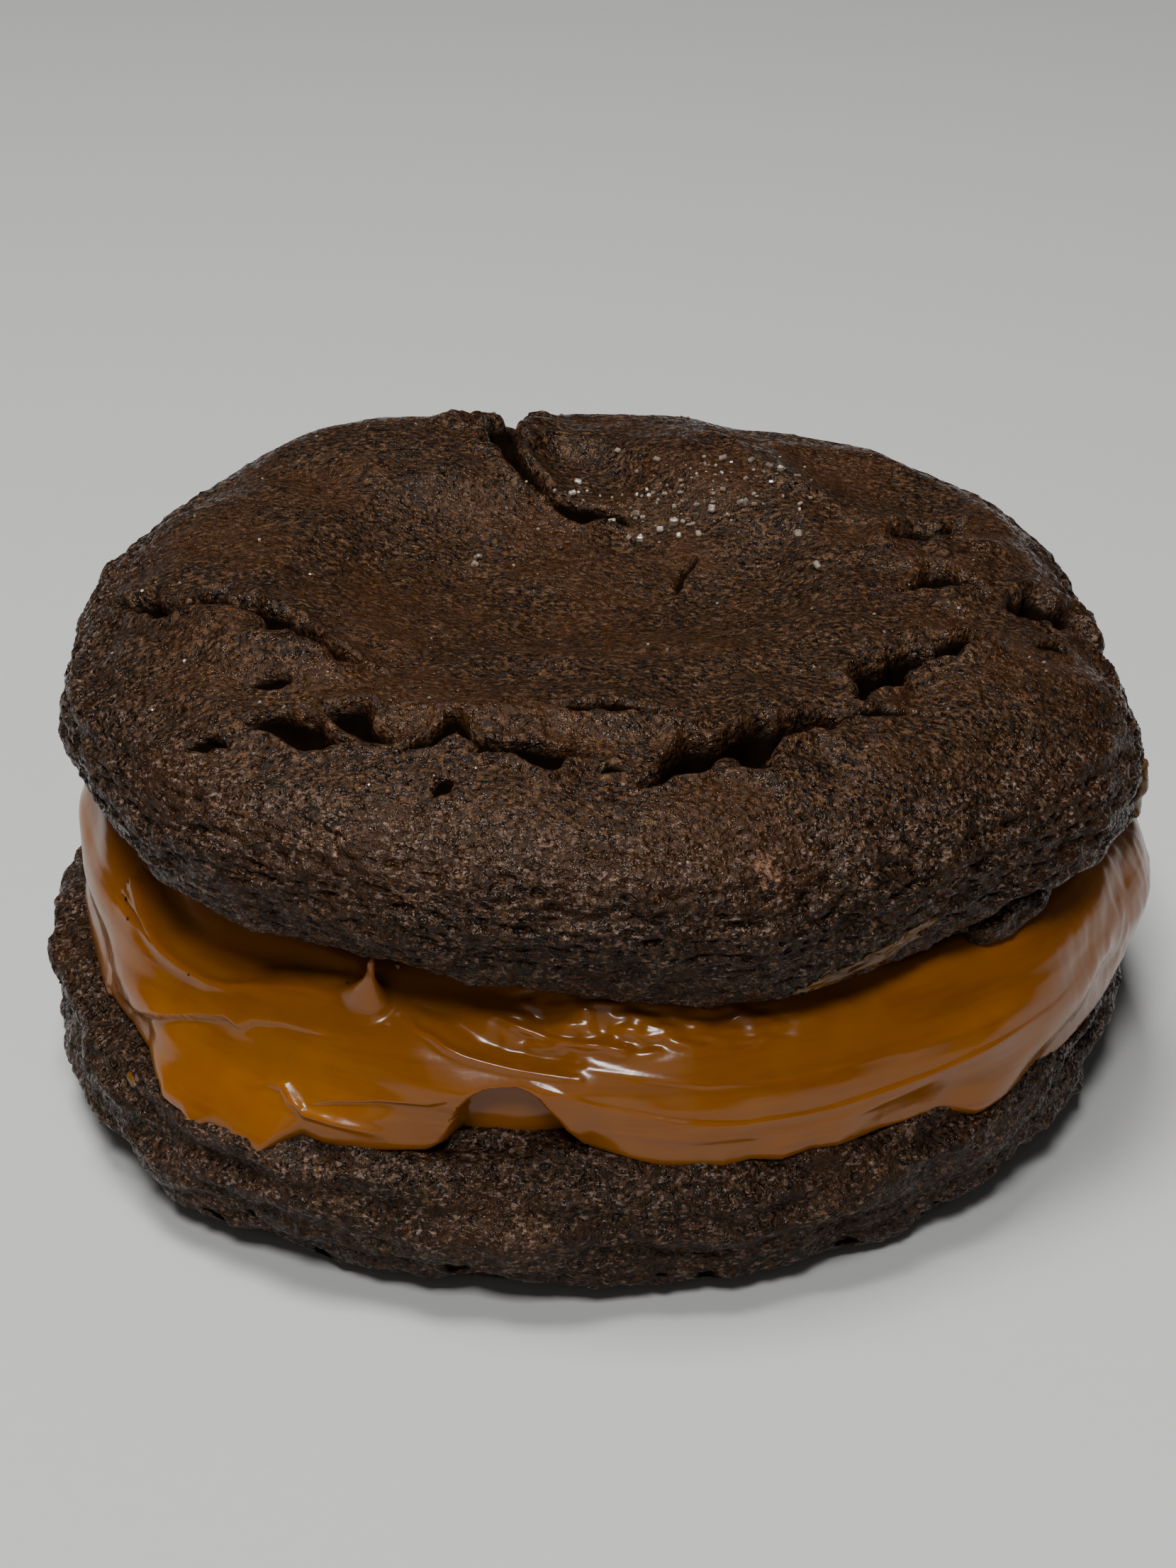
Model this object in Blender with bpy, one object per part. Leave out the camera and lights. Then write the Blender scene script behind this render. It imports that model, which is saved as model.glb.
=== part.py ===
"""Brownie alfajor: two thick chocolate cookies with a deep band of milk caramel between them.

The object stands on the flat base of its lower cookie, with +Z up. Sizes below are in millimetres
and are turned into metres when the meshes are made. X runs to the right as seen from the front,
Y runs away from the front, and angles run from +X towards +Y.
"""

from dataclasses import dataclass

import bmesh
import bpy
import numpy as np
from mathutils import Vector, noise

MM = 0.001
CONTACT_GAP = 0.3
STACK_SHIFT = (0.24, 0.23)

# Cracks in the upper cookie's top, seen from above: depth, half width and the line they follow.
TOP_CRACKS = (
    (2.4, 1.1, ((-4.9, 31.0), (-7.3, 24.4), (-6.3, 19.8), (-4.7, 17.2), (-1.6, 14.2), (1.8, 11.8))),
    (1.4, 0.9, ((-31.5, -3.2), (-28.0, -7.6), (-25.4, -5.6), (-20.4, -9.0), (-16.2, -13.2),
                (-13.4, -15.6))),
    (1.5, 0.9, ((2.6, -28.2), (6.6, -24.9), (10.1, -22.6), (13.9, -19.6), (17.8, -18.4))),
    (1.5, 0.8, ((16.6, -16.6), (19.0, -12.4), (20.6, -10.7), (22.8, -8.2), (24.6, -8.0))),
    (1.9, 0.9, ((28.2, -3.4), (30.0, 0.4), (31.8, 1.4), (34.0, 3.6), (37.0, 6.4))),
    (1.1, 0.8, ((20.6, 7.2), (23.1, 9.3), (26.0, 12.8))),
    (0.9, 0.8, ((20.8, -0.8), (24.1, 1.0), (26.4, 2.4))),
    (0.7, 0.8, ((-20.4, -20.4), (-17.3, -24.2), (-15.4, -23.8))),
    (0.7, 0.8, ((-12.6, -25.0), (-8.7, -24.6), (-3.5, -26.4), (-1.6, -25.8))),
)
DEEP_CRACK = 1.0
CRACK_FADE = 18.0
LIP_SHARE = 0.18
LIP_OFFSET = 2.2
CRACK_ENDS = (0.02, 0.98)

# Groove low in the upper cookie's side, which parts a flake from it: angle in degrees and height.
FLAKE_GROOVE = (1.3, 0.9, ((-50.0, 20.4), (-42.0, 21.6), (-33.0, 22.6), (-22.0, 22.8), (-14.0, 22.4)))

# Swells and hollows of the upper cookie's top: middle, half length, half width, turn and height.
TOP_SWELLS = (
    (-13.5, 20.0, 14.0, 9.0, -24.0, 1.3),
    (-20.5, -13.6, 10.0, 4.6, -34.0, 1.3),
    (9.5, 17.5, 13.0, 6.0, -58.0, 1.1),
    (21.0, 17.0, 11.0, 6.5, -52.0, -1.5),
    (-1.0, 19.0, 6.5, 4.2, -50.0, -1.3),
    (27.5, -12.0, 10.0, 7.0, 60.0, 0.9),
    (27.0, 6.0, 7.0, 4.0, 60.0, 0.6),
    (-6.0, -20.5, 16.0, 4.0, -4.0, 0.5),
)

# The sunken middle of the upper cookie: middle, half length, half width and depth.
BASIN = (-2.0, 1.0, 21.0, 15.5, 2.2)

# The filling's pulled-up spike: angle, foot radius, foot half width, tip radius, tip height and taper.
SPIKE = (-115.0, 33.0, 1.7, 33.6, 21.2, 1.8)

# The filling's lifted edge at the front: angle, half width, height and depth of the pocket.
ARCH = (-97.0, 5.2, 3.8, 2.2)

# Soft unevenness: size of its lumps along X, Y and Z, height and seed.
TOP_GRAIN = ((4.5, 4.5, 2.2), 0.45, 0.0)
TOP_LUMPS = ((11.0, 11.0, 8.0), 0.5, 50.0)
LOWER_LAYERS = ((8.0, 8.0, 1.7), 1.2, 0.0)
LOWER_GRAIN = ((3.5, 3.5, 2.5), 0.6, 30.0)
CARAMEL_LUMPS = ((7.0, 7.0, 3.0), 0.7, 0.0)

# How far the unevenness takes to fade out: in degrees of fall, or in millimetres.
TOP_FADE = 12.0
BASE_FADE = 2.0
FILLING_MARGIN = (0.75, 2.25)
WALL_FADE_IN = (10.0, 20.0)
WALL_FADE_OUT = 12.0

# How near a crack, the arch or the spike the mesh is made finer.
CRACK_NEAR = 1.9
ARCH_NEAR = 3.0
SPIKE_NEAR = (2.0, 1.4)
ARCH_STEEPNESS = 3.0

BALL_SPLITS = 5
LOWER_SEGMENTS = (84, 25)
CARAMEL_SEGMENTS = (72, 28)

COOKIE_COLOUR = (0.060, 0.036, 0.022, 1.0)
CARAMEL_COLOUR = (0.215, 0.068, 0.010, 1.0)


@dataclass(frozen=True)
class Slab:
    """A round-edged slab, given by its section from the middle to the edge.

    outline and lower_edge hold sizes evenly spaced round the edge, from +X towards +Y. shoulder
    and undercut say how far the rounding above and below the widest level reaches inwards, and
    each power how square that rounding is. falls are the angles from the top of a ball at which
    its surface becomes the shoulder, the widest level and the underside of the slab.
    """

    outline: tuple
    lower_edge: tuple
    widest: float
    top: float
    shoulder: float
    undercut: float
    shoulder_power: float
    undercut_power: float
    falls: tuple
    middle: tuple = (0.0, 0.0)
    lean: float = 0.0


TOP_COOKIE = Slab(
    outline=(34.8, 35.9, 39.3, 38.9, 37.3, 37.1, 37.1, 37.2, 36.5, 35.5,
             35.4, 36.8, 37.8, 38.2, 37.1, 37.2, 37.5, 35.9, 38.0, 37.7),
    lower_edge=(19.9, 19.8, 19.8, 19.8, 19.8, 19.8, 19.8, 19.8, 19.8, 19.7,
                19.7, 19.7, 19.7, 20.0, 20.5, 19.9, 19.1, 20.1, 20.4, 20.2),
    widest=26.0,
    top=32.9,
    shoulder=14.6,
    undercut=6.0,
    shoulder_power=2.0,
    undercut_power=2.0,
    falls=(62.0, 112.0, 140.0),
    lean=-0.045,
)

BOTTOM_COOKIE = Slab(
    outline=(37.4, 38.0, 38.5, 38.8, 38.9, 38.9, 38.9, 38.8, 38.7, 38.5,
             38.3, 38.0, 39.7, 41.0, 39.4, 38.7, 39.0, 38.9, 37.9, 37.1),
    lower_edge=(0.0,),
    widest=7.1,
    top=10.9,
    shoulder=4.2,
    undercut=9.0,
    shoulder_power=2.0,
    undercut_power=3.0,
    falls=(38.0, 64.0, 128.0),
    middle=(-0.3, -0.3),
)

# Sizes of the filling, evenly spaced round the edge from +X towards +Y.
WALL_RADII = (38.4, 37.0, 36.3, 36.2, 36.4, 36.2, 35.9, 35.8, 35.7, 35.6,
              35.6, 35.8, 37.0, 37.9, 37.6, 36.9, 38.1, 37.9, 38.0, 38.6)
CREST_HEIGHTS = (18.8, 18.4, 18.3, 18.5, 18.8, 19.0, 19.3, 19.6, 19.9, 20.4,
                 20.8, 20.4, 17.4, 15.2, 16.4, 18.3, 18.4, 18.6, 19.2, 19.2)
CONTACT_RADII = (31.5, 31.0, 31.0, 31.0, 31.0, 31.0, 31.0, 31.0, 31.0, 31.0,
                 31.5, 31.5, 29.0, 25.5, 27.0, 29.5, 30.0, 31.0, 32.0, 32.0)
FOOT_RADII = (37.6, 36.4, 36.0, 36.0, 36.2, 36.0, 35.8, 35.6, 35.5, 35.5,
              35.5, 36.2, 37.0, 40.6, 38.5, 36.3, 39.5, 38.0, 37.0, 37.4)
FOOT_DROPS = (0.8, 0.0, 0.0, 0.0, 0.0, 0.0, 0.0, 0.0, 0.0, 0.0,
              0.0, 0.0, 0.0, 0.0, 0.0, 0.0, 0.2, 0.6, 1.2, 1.4)
FILLING_FALLS = (45.0, 120.0, 142.0)
LAYER_SINK = 0.4
WALL_POWER = 3.2
LIP_POWER = 1.2
FOOT_TUCK = 0.8
COOKIE_ROUGHNESS = 0.85
CARAMEL_ROUGHNESS = 0.25


def clear_scene():
    """Removes every object that the file opened with."""
    for item in list(bpy.data.objects):
        bpy.data.objects.remove(item, do_unlink=True)


def around(sizes, angle):
    """The smooth size at each angle, from sizes evenly spaced round the edge."""
    count = len(sizes)
    total = np.zeros_like(angle)
    for index, size in enumerate(sizes):
        steps = (angle / (2 * np.pi) * count - index + count / 2) % count - count / 2
        gap = np.abs(steps) if count > 1 else np.zeros_like(angle)
        near = 2 / 3 - gap**2 + gap**3 / 2
        far = np.clip(2 - gap, 0, None) ** 3 / 6
        share = np.where(gap < 1, near, far) if count > 1 else 1.0
        total = total + share * size
    return total


def ease(amount):
    """0 below 0, 1 above 1 and smooth between."""
    held = np.clip(amount, 0, 1)
    return held * held * (3 - 2 * held)


def rounding(part, power):
    """Reach and rise of a rounded quarter turn, as part goes from 0 to 1."""
    turn = np.clip(part, 0, 1) * np.pi / 2
    return np.cos(turn) ** (2 / power), np.sin(turn) ** (2 / power)


def distance_to(path, across, along):
    """Distance of each point to a line through the path's points, and how far along it lies, 0 to 1."""
    nearest = np.full_like(across, np.inf)
    place = np.zeros_like(across)
    lengths = [np.hypot(b[0] - a[0], b[1] - a[1]) for a, b in zip(path, path[1:])]
    passed = 0.0
    for start, end, length in zip(path, path[1:], lengths):
        step_x, step_y = end[0] - start[0], end[1] - start[1]
        run = ((across - start[0]) * step_x + (along - start[1]) * step_y) / length**2
        run = np.clip(run, 0, 1)
        gap = np.hypot(across - start[0] - run * step_x, along - start[1] - run * step_y)
        place = np.where(gap < nearest, (passed + run * length) / sum(lengths), place)
        nearest = np.minimum(gap, nearest)
        passed += length
    return nearest, place


def groove(crack, across, along):
    """How far a crack sinks the surface, with its two lips standing a little proud."""
    depth, half_width, path = crack
    gap, place = distance_to(path, across, along)
    taper = np.sqrt(np.sin(np.pi * np.clip(place, *CRACK_ENDS)))
    sink = np.exp(-((gap / half_width) ** 2))
    lips = np.exp(-((gap / half_width - LIP_OFFSET) ** 2))
    return depth * taper * (LIP_SHARE * lips - sink)


def swell(form, across, along):
    """How far a soft oval swell lifts the surface."""
    x, y, half_length, half_width, turn, height = form
    turn = np.radians(turn)
    on_length = (across - x) * np.cos(turn) + (along - y) * np.sin(turn)
    on_width = (along - y) * np.cos(turn) - (across - x) * np.sin(turn)
    return height * ease(1 - (on_length / half_length) ** 2 - (on_width / half_width) ** 2)


def unevenness(points, lumps):
    """Soft seeded unevenness at each point."""
    sizes, height, seed = lumps
    return height * np.array([noise.noise(Vector(place)) for place in (points + seed) / sizes])


def slab_point(slab, angle, fall):
    """Radius and height on a slab's smooth surface."""
    face_end, side_at, under_at = slab.falls
    outline = around(slab.outline, angle)
    low = around(slab.lower_edge, angle)
    reach, rise = rounding((side_at - fall) / (side_at - face_end), slab.shoulder_power)
    radius = outline - slab.shoulder * (1 - reach)
    height = slab.widest + (slab.top - slab.widest) * rise
    reach, rise = rounding((fall - side_at) / (under_at - side_at), slab.undercut_power)
    below = fall > side_at
    radius = np.where(below, outline - slab.undercut * (1 - reach), radius)
    height = np.where(below, slab.widest - (slab.widest - low) * rise, height)
    on_face = fall < face_end
    radius = np.where(on_face, radius * fall / face_end, radius)
    under = fall > under_at
    inward = (180 - fall) / (180 - under_at)
    radius = np.where(under, radius * inward, radius)
    mean_low = np.mean(slab.lower_edge)
    height = np.where(under, mean_low + (low - mean_low) * np.clip(inward, 0, 1) ** 2, height)
    return radius, height


def underside_height(slab, angle, radius):
    """Height of a slab's smooth lower surface at a radius inside its outline."""
    outline = around(slab.outline, angle)
    low = around(slab.lower_edge, angle)
    flat = outline - slab.undercut
    mean_low = np.mean(slab.lower_edge)
    face = mean_low + (low - mean_low) * np.clip(radius / flat, 0, 1) ** 2
    past = np.clip((radius - flat) / slab.undercut, 0, 1)
    curve = 1 - (1 - past**slab.undercut_power) ** (1 / slab.undercut_power)
    return face + (slab.widest - low) * curve


def upper_height(slab, x, y):
    """Height of a slab's smooth upper surface at a place seen from above."""
    x, y = x - slab.middle[0], y - slab.middle[1]
    radius, outline = np.hypot(x, y), around(slab.outline, np.arctan2(y, x))
    past = np.clip((radius - outline + slab.shoulder) / slab.shoulder, 0, 1)
    drop = 1 - (1 - past**slab.shoulder_power) ** (1 / slab.shoulder_power)
    return slab.top - (slab.top - slab.widest) * drop


def read_ball(bm):
    """Angle round the middle and fall from the top, of each point of a ball."""
    points = np.array([vert.co.normalized() for vert in bm.verts])
    angle = np.arctan2(points[:, 1], points[:, 0])
    fall = np.degrees(np.arccos(np.clip(points[:, 2], -1, 1)))
    return angle, fall


def split_near(bm, wanted):
    """Cuts every edge whose two ends are wanted in half, for finer triangles there."""
    edges = [edge for edge in bm.edges if all(wanted[vert.index] for vert in edge.verts)]
    bmesh.ops.subdivide_edges(bm, edges=edges, cuts=1, use_grid_fill=True)
    bmesh.ops.triangulate(bm, faces=bm.faces[:])
    bm.verts.index_update()


def place_points(bm, points):
    """Moves the mesh's points to places given in millimetres and updates its normals."""
    for vert, (x, y, z) in zip(bm.verts, points):
        vert.co = (x, y, z)
    bmesh.ops.recalc_face_normals(bm, faces=bm.faces[:])
    bm.normal_update()


def push_out(bm, amounts):
    """Moves each point along its normal and returns the new places."""
    normals = np.array([vert.normal for vert in bm.verts])
    points = np.array([vert.co for vert in bm.verts])
    return points + normals * amounts[:, None]


def finish(bm, name, points, material):
    """Makes an object of the mesh, in metres, smooth and with its material."""
    place_points(bm, (points + np.array([*STACK_SHIFT, 0.0])) * MM)
    mesh = bpy.data.meshes.new(name)
    bm.to_mesh(mesh)
    bm.free()
    mesh.shade_smooth()
    mesh.materials.append(material)
    bpy.context.scene.collection.objects.link(bpy.data.objects.new(name, mesh))


def make_material(name, colour, roughness):
    """A plain finish in the food's own colour."""
    material = bpy.data.materials.new(name)
    material.use_nodes = True
    shader = material.node_tree.nodes["Principled BSDF"]
    shader.inputs["Base Color"].default_value = colour
    shader.inputs["Roughness"].default_value = roughness
    return material


def build_top_cookie():
    """The upper cookie: a low dome with a sunken middle, cracks, swells and a granular side."""
    face_end, side_at, under_at = TOP_COOKIE.falls
    bm = bmesh.new()
    bmesh.ops.create_icosphere(bm, subdivisions=BALL_SPLITS, radius=1.0)
    angle, fall = read_ball(bm)
    radius, _ = slab_point(TOP_COOKIE, angle, fall)
    x, y = radius * np.cos(angle), radius * np.sin(angle)
    near = np.zeros(len(x), dtype=bool)
    for depth, half_width, path in TOP_CRACKS:
        if depth > DEEP_CRACK:
            near |= (distance_to(path, x, y)[0] < CRACK_NEAR * half_width) & (fall < side_at)
    split_near(bm, near)
    angle, fall = read_ball(bm)
    radius, height = slab_point(TOP_COOKIE, angle, fall)
    x, y = radius * np.cos(angle), radius * np.sin(angle)
    on_top = ease((side_at - fall) / CRACK_FADE)
    basin_x, basin_y, half_length, half_width, depth = BASIN
    bowl = 1 - ((x - basin_x) / half_length) ** 2 - ((y - basin_y) / half_width) ** 2
    height = height - depth * ease(bowl) * on_top
    places = np.stack([x, y, height], axis=1)
    place_points(bm, places)
    relief = sum(groove(crack, x, y) for crack in TOP_CRACKS) * on_top
    relief += sum(swell(form, x, y) for form in TOP_SWELLS) * on_top
    girth = np.mean(TOP_COOKIE.outline)
    depth, half_width, path = FLAKE_GROOVE
    wrapped = tuple((np.radians(turn) * girth, level) for turn, level in path)
    on_side = (fall > face_end) & (fall < under_at)
    relief += groove((depth, half_width, wrapped), angle * girth, height) * on_side
    relief += unevenness(places, TOP_GRAIN) + unevenness(places, TOP_LUMPS)
    points = push_out(bm, relief * ease((under_at - fall) / TOP_FADE))
    points[:, 2] += TOP_COOKIE.lean * points[:, 0]
    finish(bm, "top_cookie", points, make_material("upper_cookie", COOKIE_COLOUR, COOKIE_ROUGHNESS))


def build_bottom_cookie():
    """The lower cookie: its domed side is down, with a flat base and flaky layers up its side."""
    flat_end, ledge_end, _ = BOTTOM_COOKIE.falls
    segments, rings = LOWER_SEGMENTS
    bm = bmesh.new()
    bmesh.ops.create_uvsphere(bm, u_segments=segments, v_segments=rings, radius=1.0)
    bmesh.ops.triangulate(bm, faces=bm.faces[:])
    angle, fall = read_ball(bm)
    radius, height = slab_point(BOTTOM_COOKIE, angle, fall)
    x = BOTTOM_COOKIE.middle[0] + radius * np.cos(angle)
    y = BOTTOM_COOKIE.middle[1] + radius * np.sin(angle)
    places = np.stack([x, y, height], axis=1)
    place_points(bm, places)
    layers = unevenness(places, LOWER_LAYERS) + unevenness(places, LOWER_GRAIN) - LAYER_SINK
    start, end = FILLING_MARGIN
    clear_of_filling = ease((radius - around(WALL_RADII, angle) - start) / (end - start))
    sunk = np.minimum(layers, 0) * (fall > flat_end)
    relief = np.where(fall > ledge_end, layers, sunk + (layers - sunk) * clear_of_filling)
    points = push_out(bm, relief * ease(height / BASE_FADE))
    points[:, 2] = np.where(height < CONTACT_GAP, height, np.maximum(points[:, 2], CONTACT_GAP))
    finish(bm, "bottom_cookie", points, make_material("lower_cookie", COOKIE_COLOUR, COOKIE_ROUGHNESS))


def filling_point(angle, fall):
    """Radius and height on the filling's smooth surface, before it is fitted to the cookies."""
    face_end, side_at, under_at = FILLING_FALLS
    wall = around(WALL_RADII, angle)
    crest = around(CREST_HEIGHTS, angle)
    contact = around(CONTACT_RADII, angle)
    lean = TOP_COOKIE.lean * contact * np.cos(angle)
    ceiling = underside_height(TOP_COOKIE, angle, contact) + lean - CONTACT_GAP
    foot = BOTTOM_COOKIE.top + CONTACT_GAP - around(FOOT_DROPS, angle)
    belly = foot + FOOT_TUCK
    reach, rise = rounding((side_at - fall) / (side_at - face_end), WALL_POWER)
    wall = wall + (around(FOOT_RADII, angle) - wall) * (1 - rise) ** 2
    radius = contact + (wall - contact) * reach
    height = belly + (crest - belly) * rise + (ceiling - crest) * (1 - reach) ** LIP_POWER
    part = np.clip((fall - side_at) / (under_at - side_at), 0, 1)
    below = fall > side_at
    radius = np.where(below, wall - FOOT_TUCK * (1 - np.cos(part * np.pi / 2)), radius)
    height = np.where(below, belly - FOOT_TUCK * np.sin(part * np.pi / 2), height)
    radius = np.where(fall < face_end, contact * fall / face_end, radius)
    inward = np.sqrt(np.clip((180 - fall) / (180 - under_at), 0, 1))
    radius = np.where(fall > under_at, radius * inward, radius)
    return radius, height


def spike_distance(angle, radius):
    """Distance round and out from the foot of the filling's spike."""
    return np.hypot((angle - np.radians(SPIKE[0])) * radius, radius - SPIKE[1])


def split_filling(bm):
    """Makes the filling's ball finer where its lifted edge and its spike will be."""
    face_end, _, under_at = FILLING_FALLS
    arch_angle, arch_half_width, _, _ = ARCH
    spike_width = SPIKE[2]
    for spike_reach, arch_reach in zip(SPIKE_NEAR, (arch_half_width + ARCH_NEAR, 0.0)):
        angle, fall = read_ball(bm)
        radius, _ = filling_point(angle, fall)
        near = spike_distance(angle, radius) < spike_reach * spike_width
        near |= np.abs(angle - np.radians(arch_angle)) * radius < arch_reach
        split_near(bm, near & (fall > face_end) & (fall < under_at))


def build_filling():
    """The caramel: it runs through between the cookies, with a shelf, a spike and a lifted edge."""
    face_end, side_at, _ = FILLING_FALLS
    segments, rings = CARAMEL_SEGMENTS
    bm = bmesh.new()
    bmesh.ops.create_uvsphere(bm, u_segments=segments, v_segments=rings, radius=1.0)
    bmesh.ops.triangulate(bm, faces=bm.faces[:])
    split_filling(bm)
    angle, fall = read_ball(bm)
    radius, height = filling_point(angle, fall)
    arch_angle, arch_half_width, arch_height, arch_depth = ARCH
    foot = BOTTOM_COOKIE.top + CONTACT_GAP - around(FOOT_DROPS, angle)
    across = (angle - np.radians(arch_angle)) * radius
    inside = 1 - (across / arch_half_width) ** 2 - ((height - foot) / arch_height) ** 2
    radius = radius - arch_depth * ease(ARCH_STEEPNESS * inside) * (fall > face_end)
    _, foot_radius, spike_width, tip_radius, tip_height, taper = SPIKE
    on_wall = (fall > face_end) & (fall < side_at)
    away = np.where(on_wall, spike_distance(angle, radius), np.inf)
    pull = np.clip(1 - (away - away.min()) / spike_width, 0, 1) ** taper
    radius = radius + (tip_radius - foot_radius) * pull
    height = height + (tip_height - height) * pull
    places = np.stack([radius * np.cos(angle), radius * np.sin(angle), height], axis=1)
    place_points(bm, places)
    start, length = WALL_FADE_IN
    shown = ease((fall - face_end - start) / length) * ease((side_at - fall) / WALL_FADE_OUT + 1)
    points = push_out(bm, unevenness(places, CARAMEL_LUMPS) * shown)
    radius = np.hypot(points[:, 0], points[:, 1])
    angle = np.arctan2(points[:, 1], points[:, 0])
    ceiling = underside_height(TOP_COOKIE, angle, radius) + TOP_COOKIE.lean * points[:, 0] - CONTACT_GAP
    floor = upper_height(BOTTOM_COOKIE, points[:, 0], points[:, 1]) + CONTACT_GAP
    points[:, 2] = np.clip(points[:, 2], floor, np.maximum(ceiling, floor + CONTACT_GAP))
    finish(bm, "caramel_filling", points, make_material("caramel", CARAMEL_COLOUR, CARAMEL_ROUGHNESS))


def main():
    """Clears the scene and builds the three layers from the base up."""
    clear_scene()
    build_bottom_cookie()
    build_filling()
    build_top_cookie()


main()
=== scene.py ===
"""Looks of a brownie alfajor: two baked chocolate cookies with milk caramel between them.

Sizes are in millimetres and are turned into metres when a mesh is placed. Angles run from +X
towards +Y, so the front of the food is at -90 degrees. A level is a height on the caramel's
wall, which goes on rising as the surface turns inwards over the shelf.
"""

import logging
from dataclasses import dataclass, field, replace
from enum import Enum
from typing import Any

import bmesh
import bpy
import numpy as np
from mathutils import Matrix, Vector, noise
from mathutils.bvhtree import BVHTree


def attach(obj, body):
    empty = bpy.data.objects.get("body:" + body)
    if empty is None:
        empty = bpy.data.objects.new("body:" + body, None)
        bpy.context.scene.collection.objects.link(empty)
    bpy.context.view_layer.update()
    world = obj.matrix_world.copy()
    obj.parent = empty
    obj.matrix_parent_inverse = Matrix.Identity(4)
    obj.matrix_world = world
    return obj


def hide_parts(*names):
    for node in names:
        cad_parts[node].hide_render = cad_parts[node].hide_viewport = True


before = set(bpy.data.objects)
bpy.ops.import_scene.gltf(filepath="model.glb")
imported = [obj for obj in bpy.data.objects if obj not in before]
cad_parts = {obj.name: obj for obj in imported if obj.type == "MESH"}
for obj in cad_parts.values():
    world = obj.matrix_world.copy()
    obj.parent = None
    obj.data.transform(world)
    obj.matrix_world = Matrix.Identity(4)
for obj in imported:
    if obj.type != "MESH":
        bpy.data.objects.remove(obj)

BODY = "root"
MM = 0.001
STACK_SHIFT = (0.24, 0.23)
SEED = 11
STEP_EDGE = 0.24
POINTED_END = 0.3
LIP_AT = 1.9
LIP_HEIGHT = 0.16

Points = tuple[tuple[float, float], ...]
Sizes = tuple[float, ...]
Colour = tuple[float, float, float]

log = logging.getLogger("alfajor")


class Kind(Enum):
    """How a line shapes the surface that it runs over."""

    GROOVE = "groove"
    RIDGE = "ridge"
    STEP = "step"


def around(sizes: Sizes, angle: np.ndarray) -> np.ndarray:
    """Blends sizes that are evenly spaced round the edge.

    Args:
        sizes: The sizes, from +X towards +Y.
        angle: The angle of each point, in radians.

    Returns:
        The smooth size at each point.
    """
    count = len(sizes)
    if count == 1:
        return np.full_like(angle, sizes[0])
    total = np.zeros_like(angle)
    for index, size in enumerate(sizes):
        gap = np.abs((angle / (2 * np.pi) * count - index + count / 2) % count - count / 2)
        near = 2 / 3 - gap**2 + gap**3 / 2
        far = np.clip(2 - gap, 0, None) ** 3 / 6
        total += np.where(gap < 1, near, far) * size
    return total


def ease(amount: np.ndarray) -> np.ndarray:
    """0 below 0, 1 above 1 and smooth between."""
    held = np.clip(amount, 0, 1)
    return held * held * (3 - 2 * held)


def rounding(part: np.ndarray, power: float) -> tuple[np.ndarray, np.ndarray]:
    """Reach and rise of a rounded quarter turn.

    Args:
        part: How far round the turn each point is, 0 to 1.
        power: How square the turn is; 2 is round.

    Returns:
        The reach, 1 to 0, and the rise, 0 to 1.
    """
    turn = np.clip(part, 0, 1) * np.pi / 2
    return np.cos(turn) ** (2 / power), np.sin(turn) ** (2 / power)


@dataclass(frozen=True)
class Lumps:
    """Soft seeded lumps: their size along each axis, their height and a shift of the pattern."""

    sizes: Sizes
    height: float
    shift: float

    def at(self, points: np.ndarray) -> np.ndarray:
        """The lumps' height at each point."""
        places = ((points + self.shift) / np.array(self.sizes)).tolist()
        return self.height * np.array([noise.noise(Vector(place)) for place in places])

    def dents(self, points: np.ndarray, edge: float, width: float) -> np.ndarray:
        """1 where the lumps rise past an edge, 0 elsewhere and smooth over a width."""
        return ease((self.at(points) - edge) / width)


def all_of(kinds: tuple[Lumps, ...], points: np.ndarray) -> np.ndarray:
    """Adds up several kinds of lumps.

    Args:
        kinds: The lumps.
        points: Where to read them.

    Returns:
        Their height together at each point.
    """
    total = kinds[0].at(points)
    for kind in kinds[1:]:
        total = total + kind.at(points)
    return total


@dataclass(frozen=True)
class Track:
    """A line over a surface, through points given in that surface's two coordinates."""

    points: Points

    def nearest(self, across: np.ndarray, along: np.ndarray) -> tuple[np.ndarray, ...]:
        """Measures each point of a surface against the line.

        Args:
            across: First coordinate of each point.
            along: Second coordinate of each point.

        Returns:
            The distance, the place along the line from 0 to 1, and the side: 1 left, -1 right.
        """
        gap = np.full_like(across, np.inf)
        place = np.zeros_like(across)
        side = np.ones_like(across)
        legs = list(zip(self.points, self.points[1:]))
        lengths = [float(np.hypot(b[0] - a[0], b[1] - a[1])) for a, b in legs]
        passed = 0.0
        for (start, end), length in zip(legs, lengths):
            step_x, step_y = end[0] - start[0], end[1] - start[1]
            off_x, off_y = across - start[0], along - start[1]
            run = np.clip((off_x * step_x + off_y * step_y) / length**2, 0, 1)
            away = np.hypot(off_x - run * step_x, off_y - run * step_y)
            closer = away < gap
            gap = np.where(closer, away, gap)
            place = np.where(closer, (passed + run * length) / sum(lengths), place)
            side = np.where(closer, np.sign(step_x * off_y - step_y * off_x), side)
            passed += length
        return gap, place, side


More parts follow.
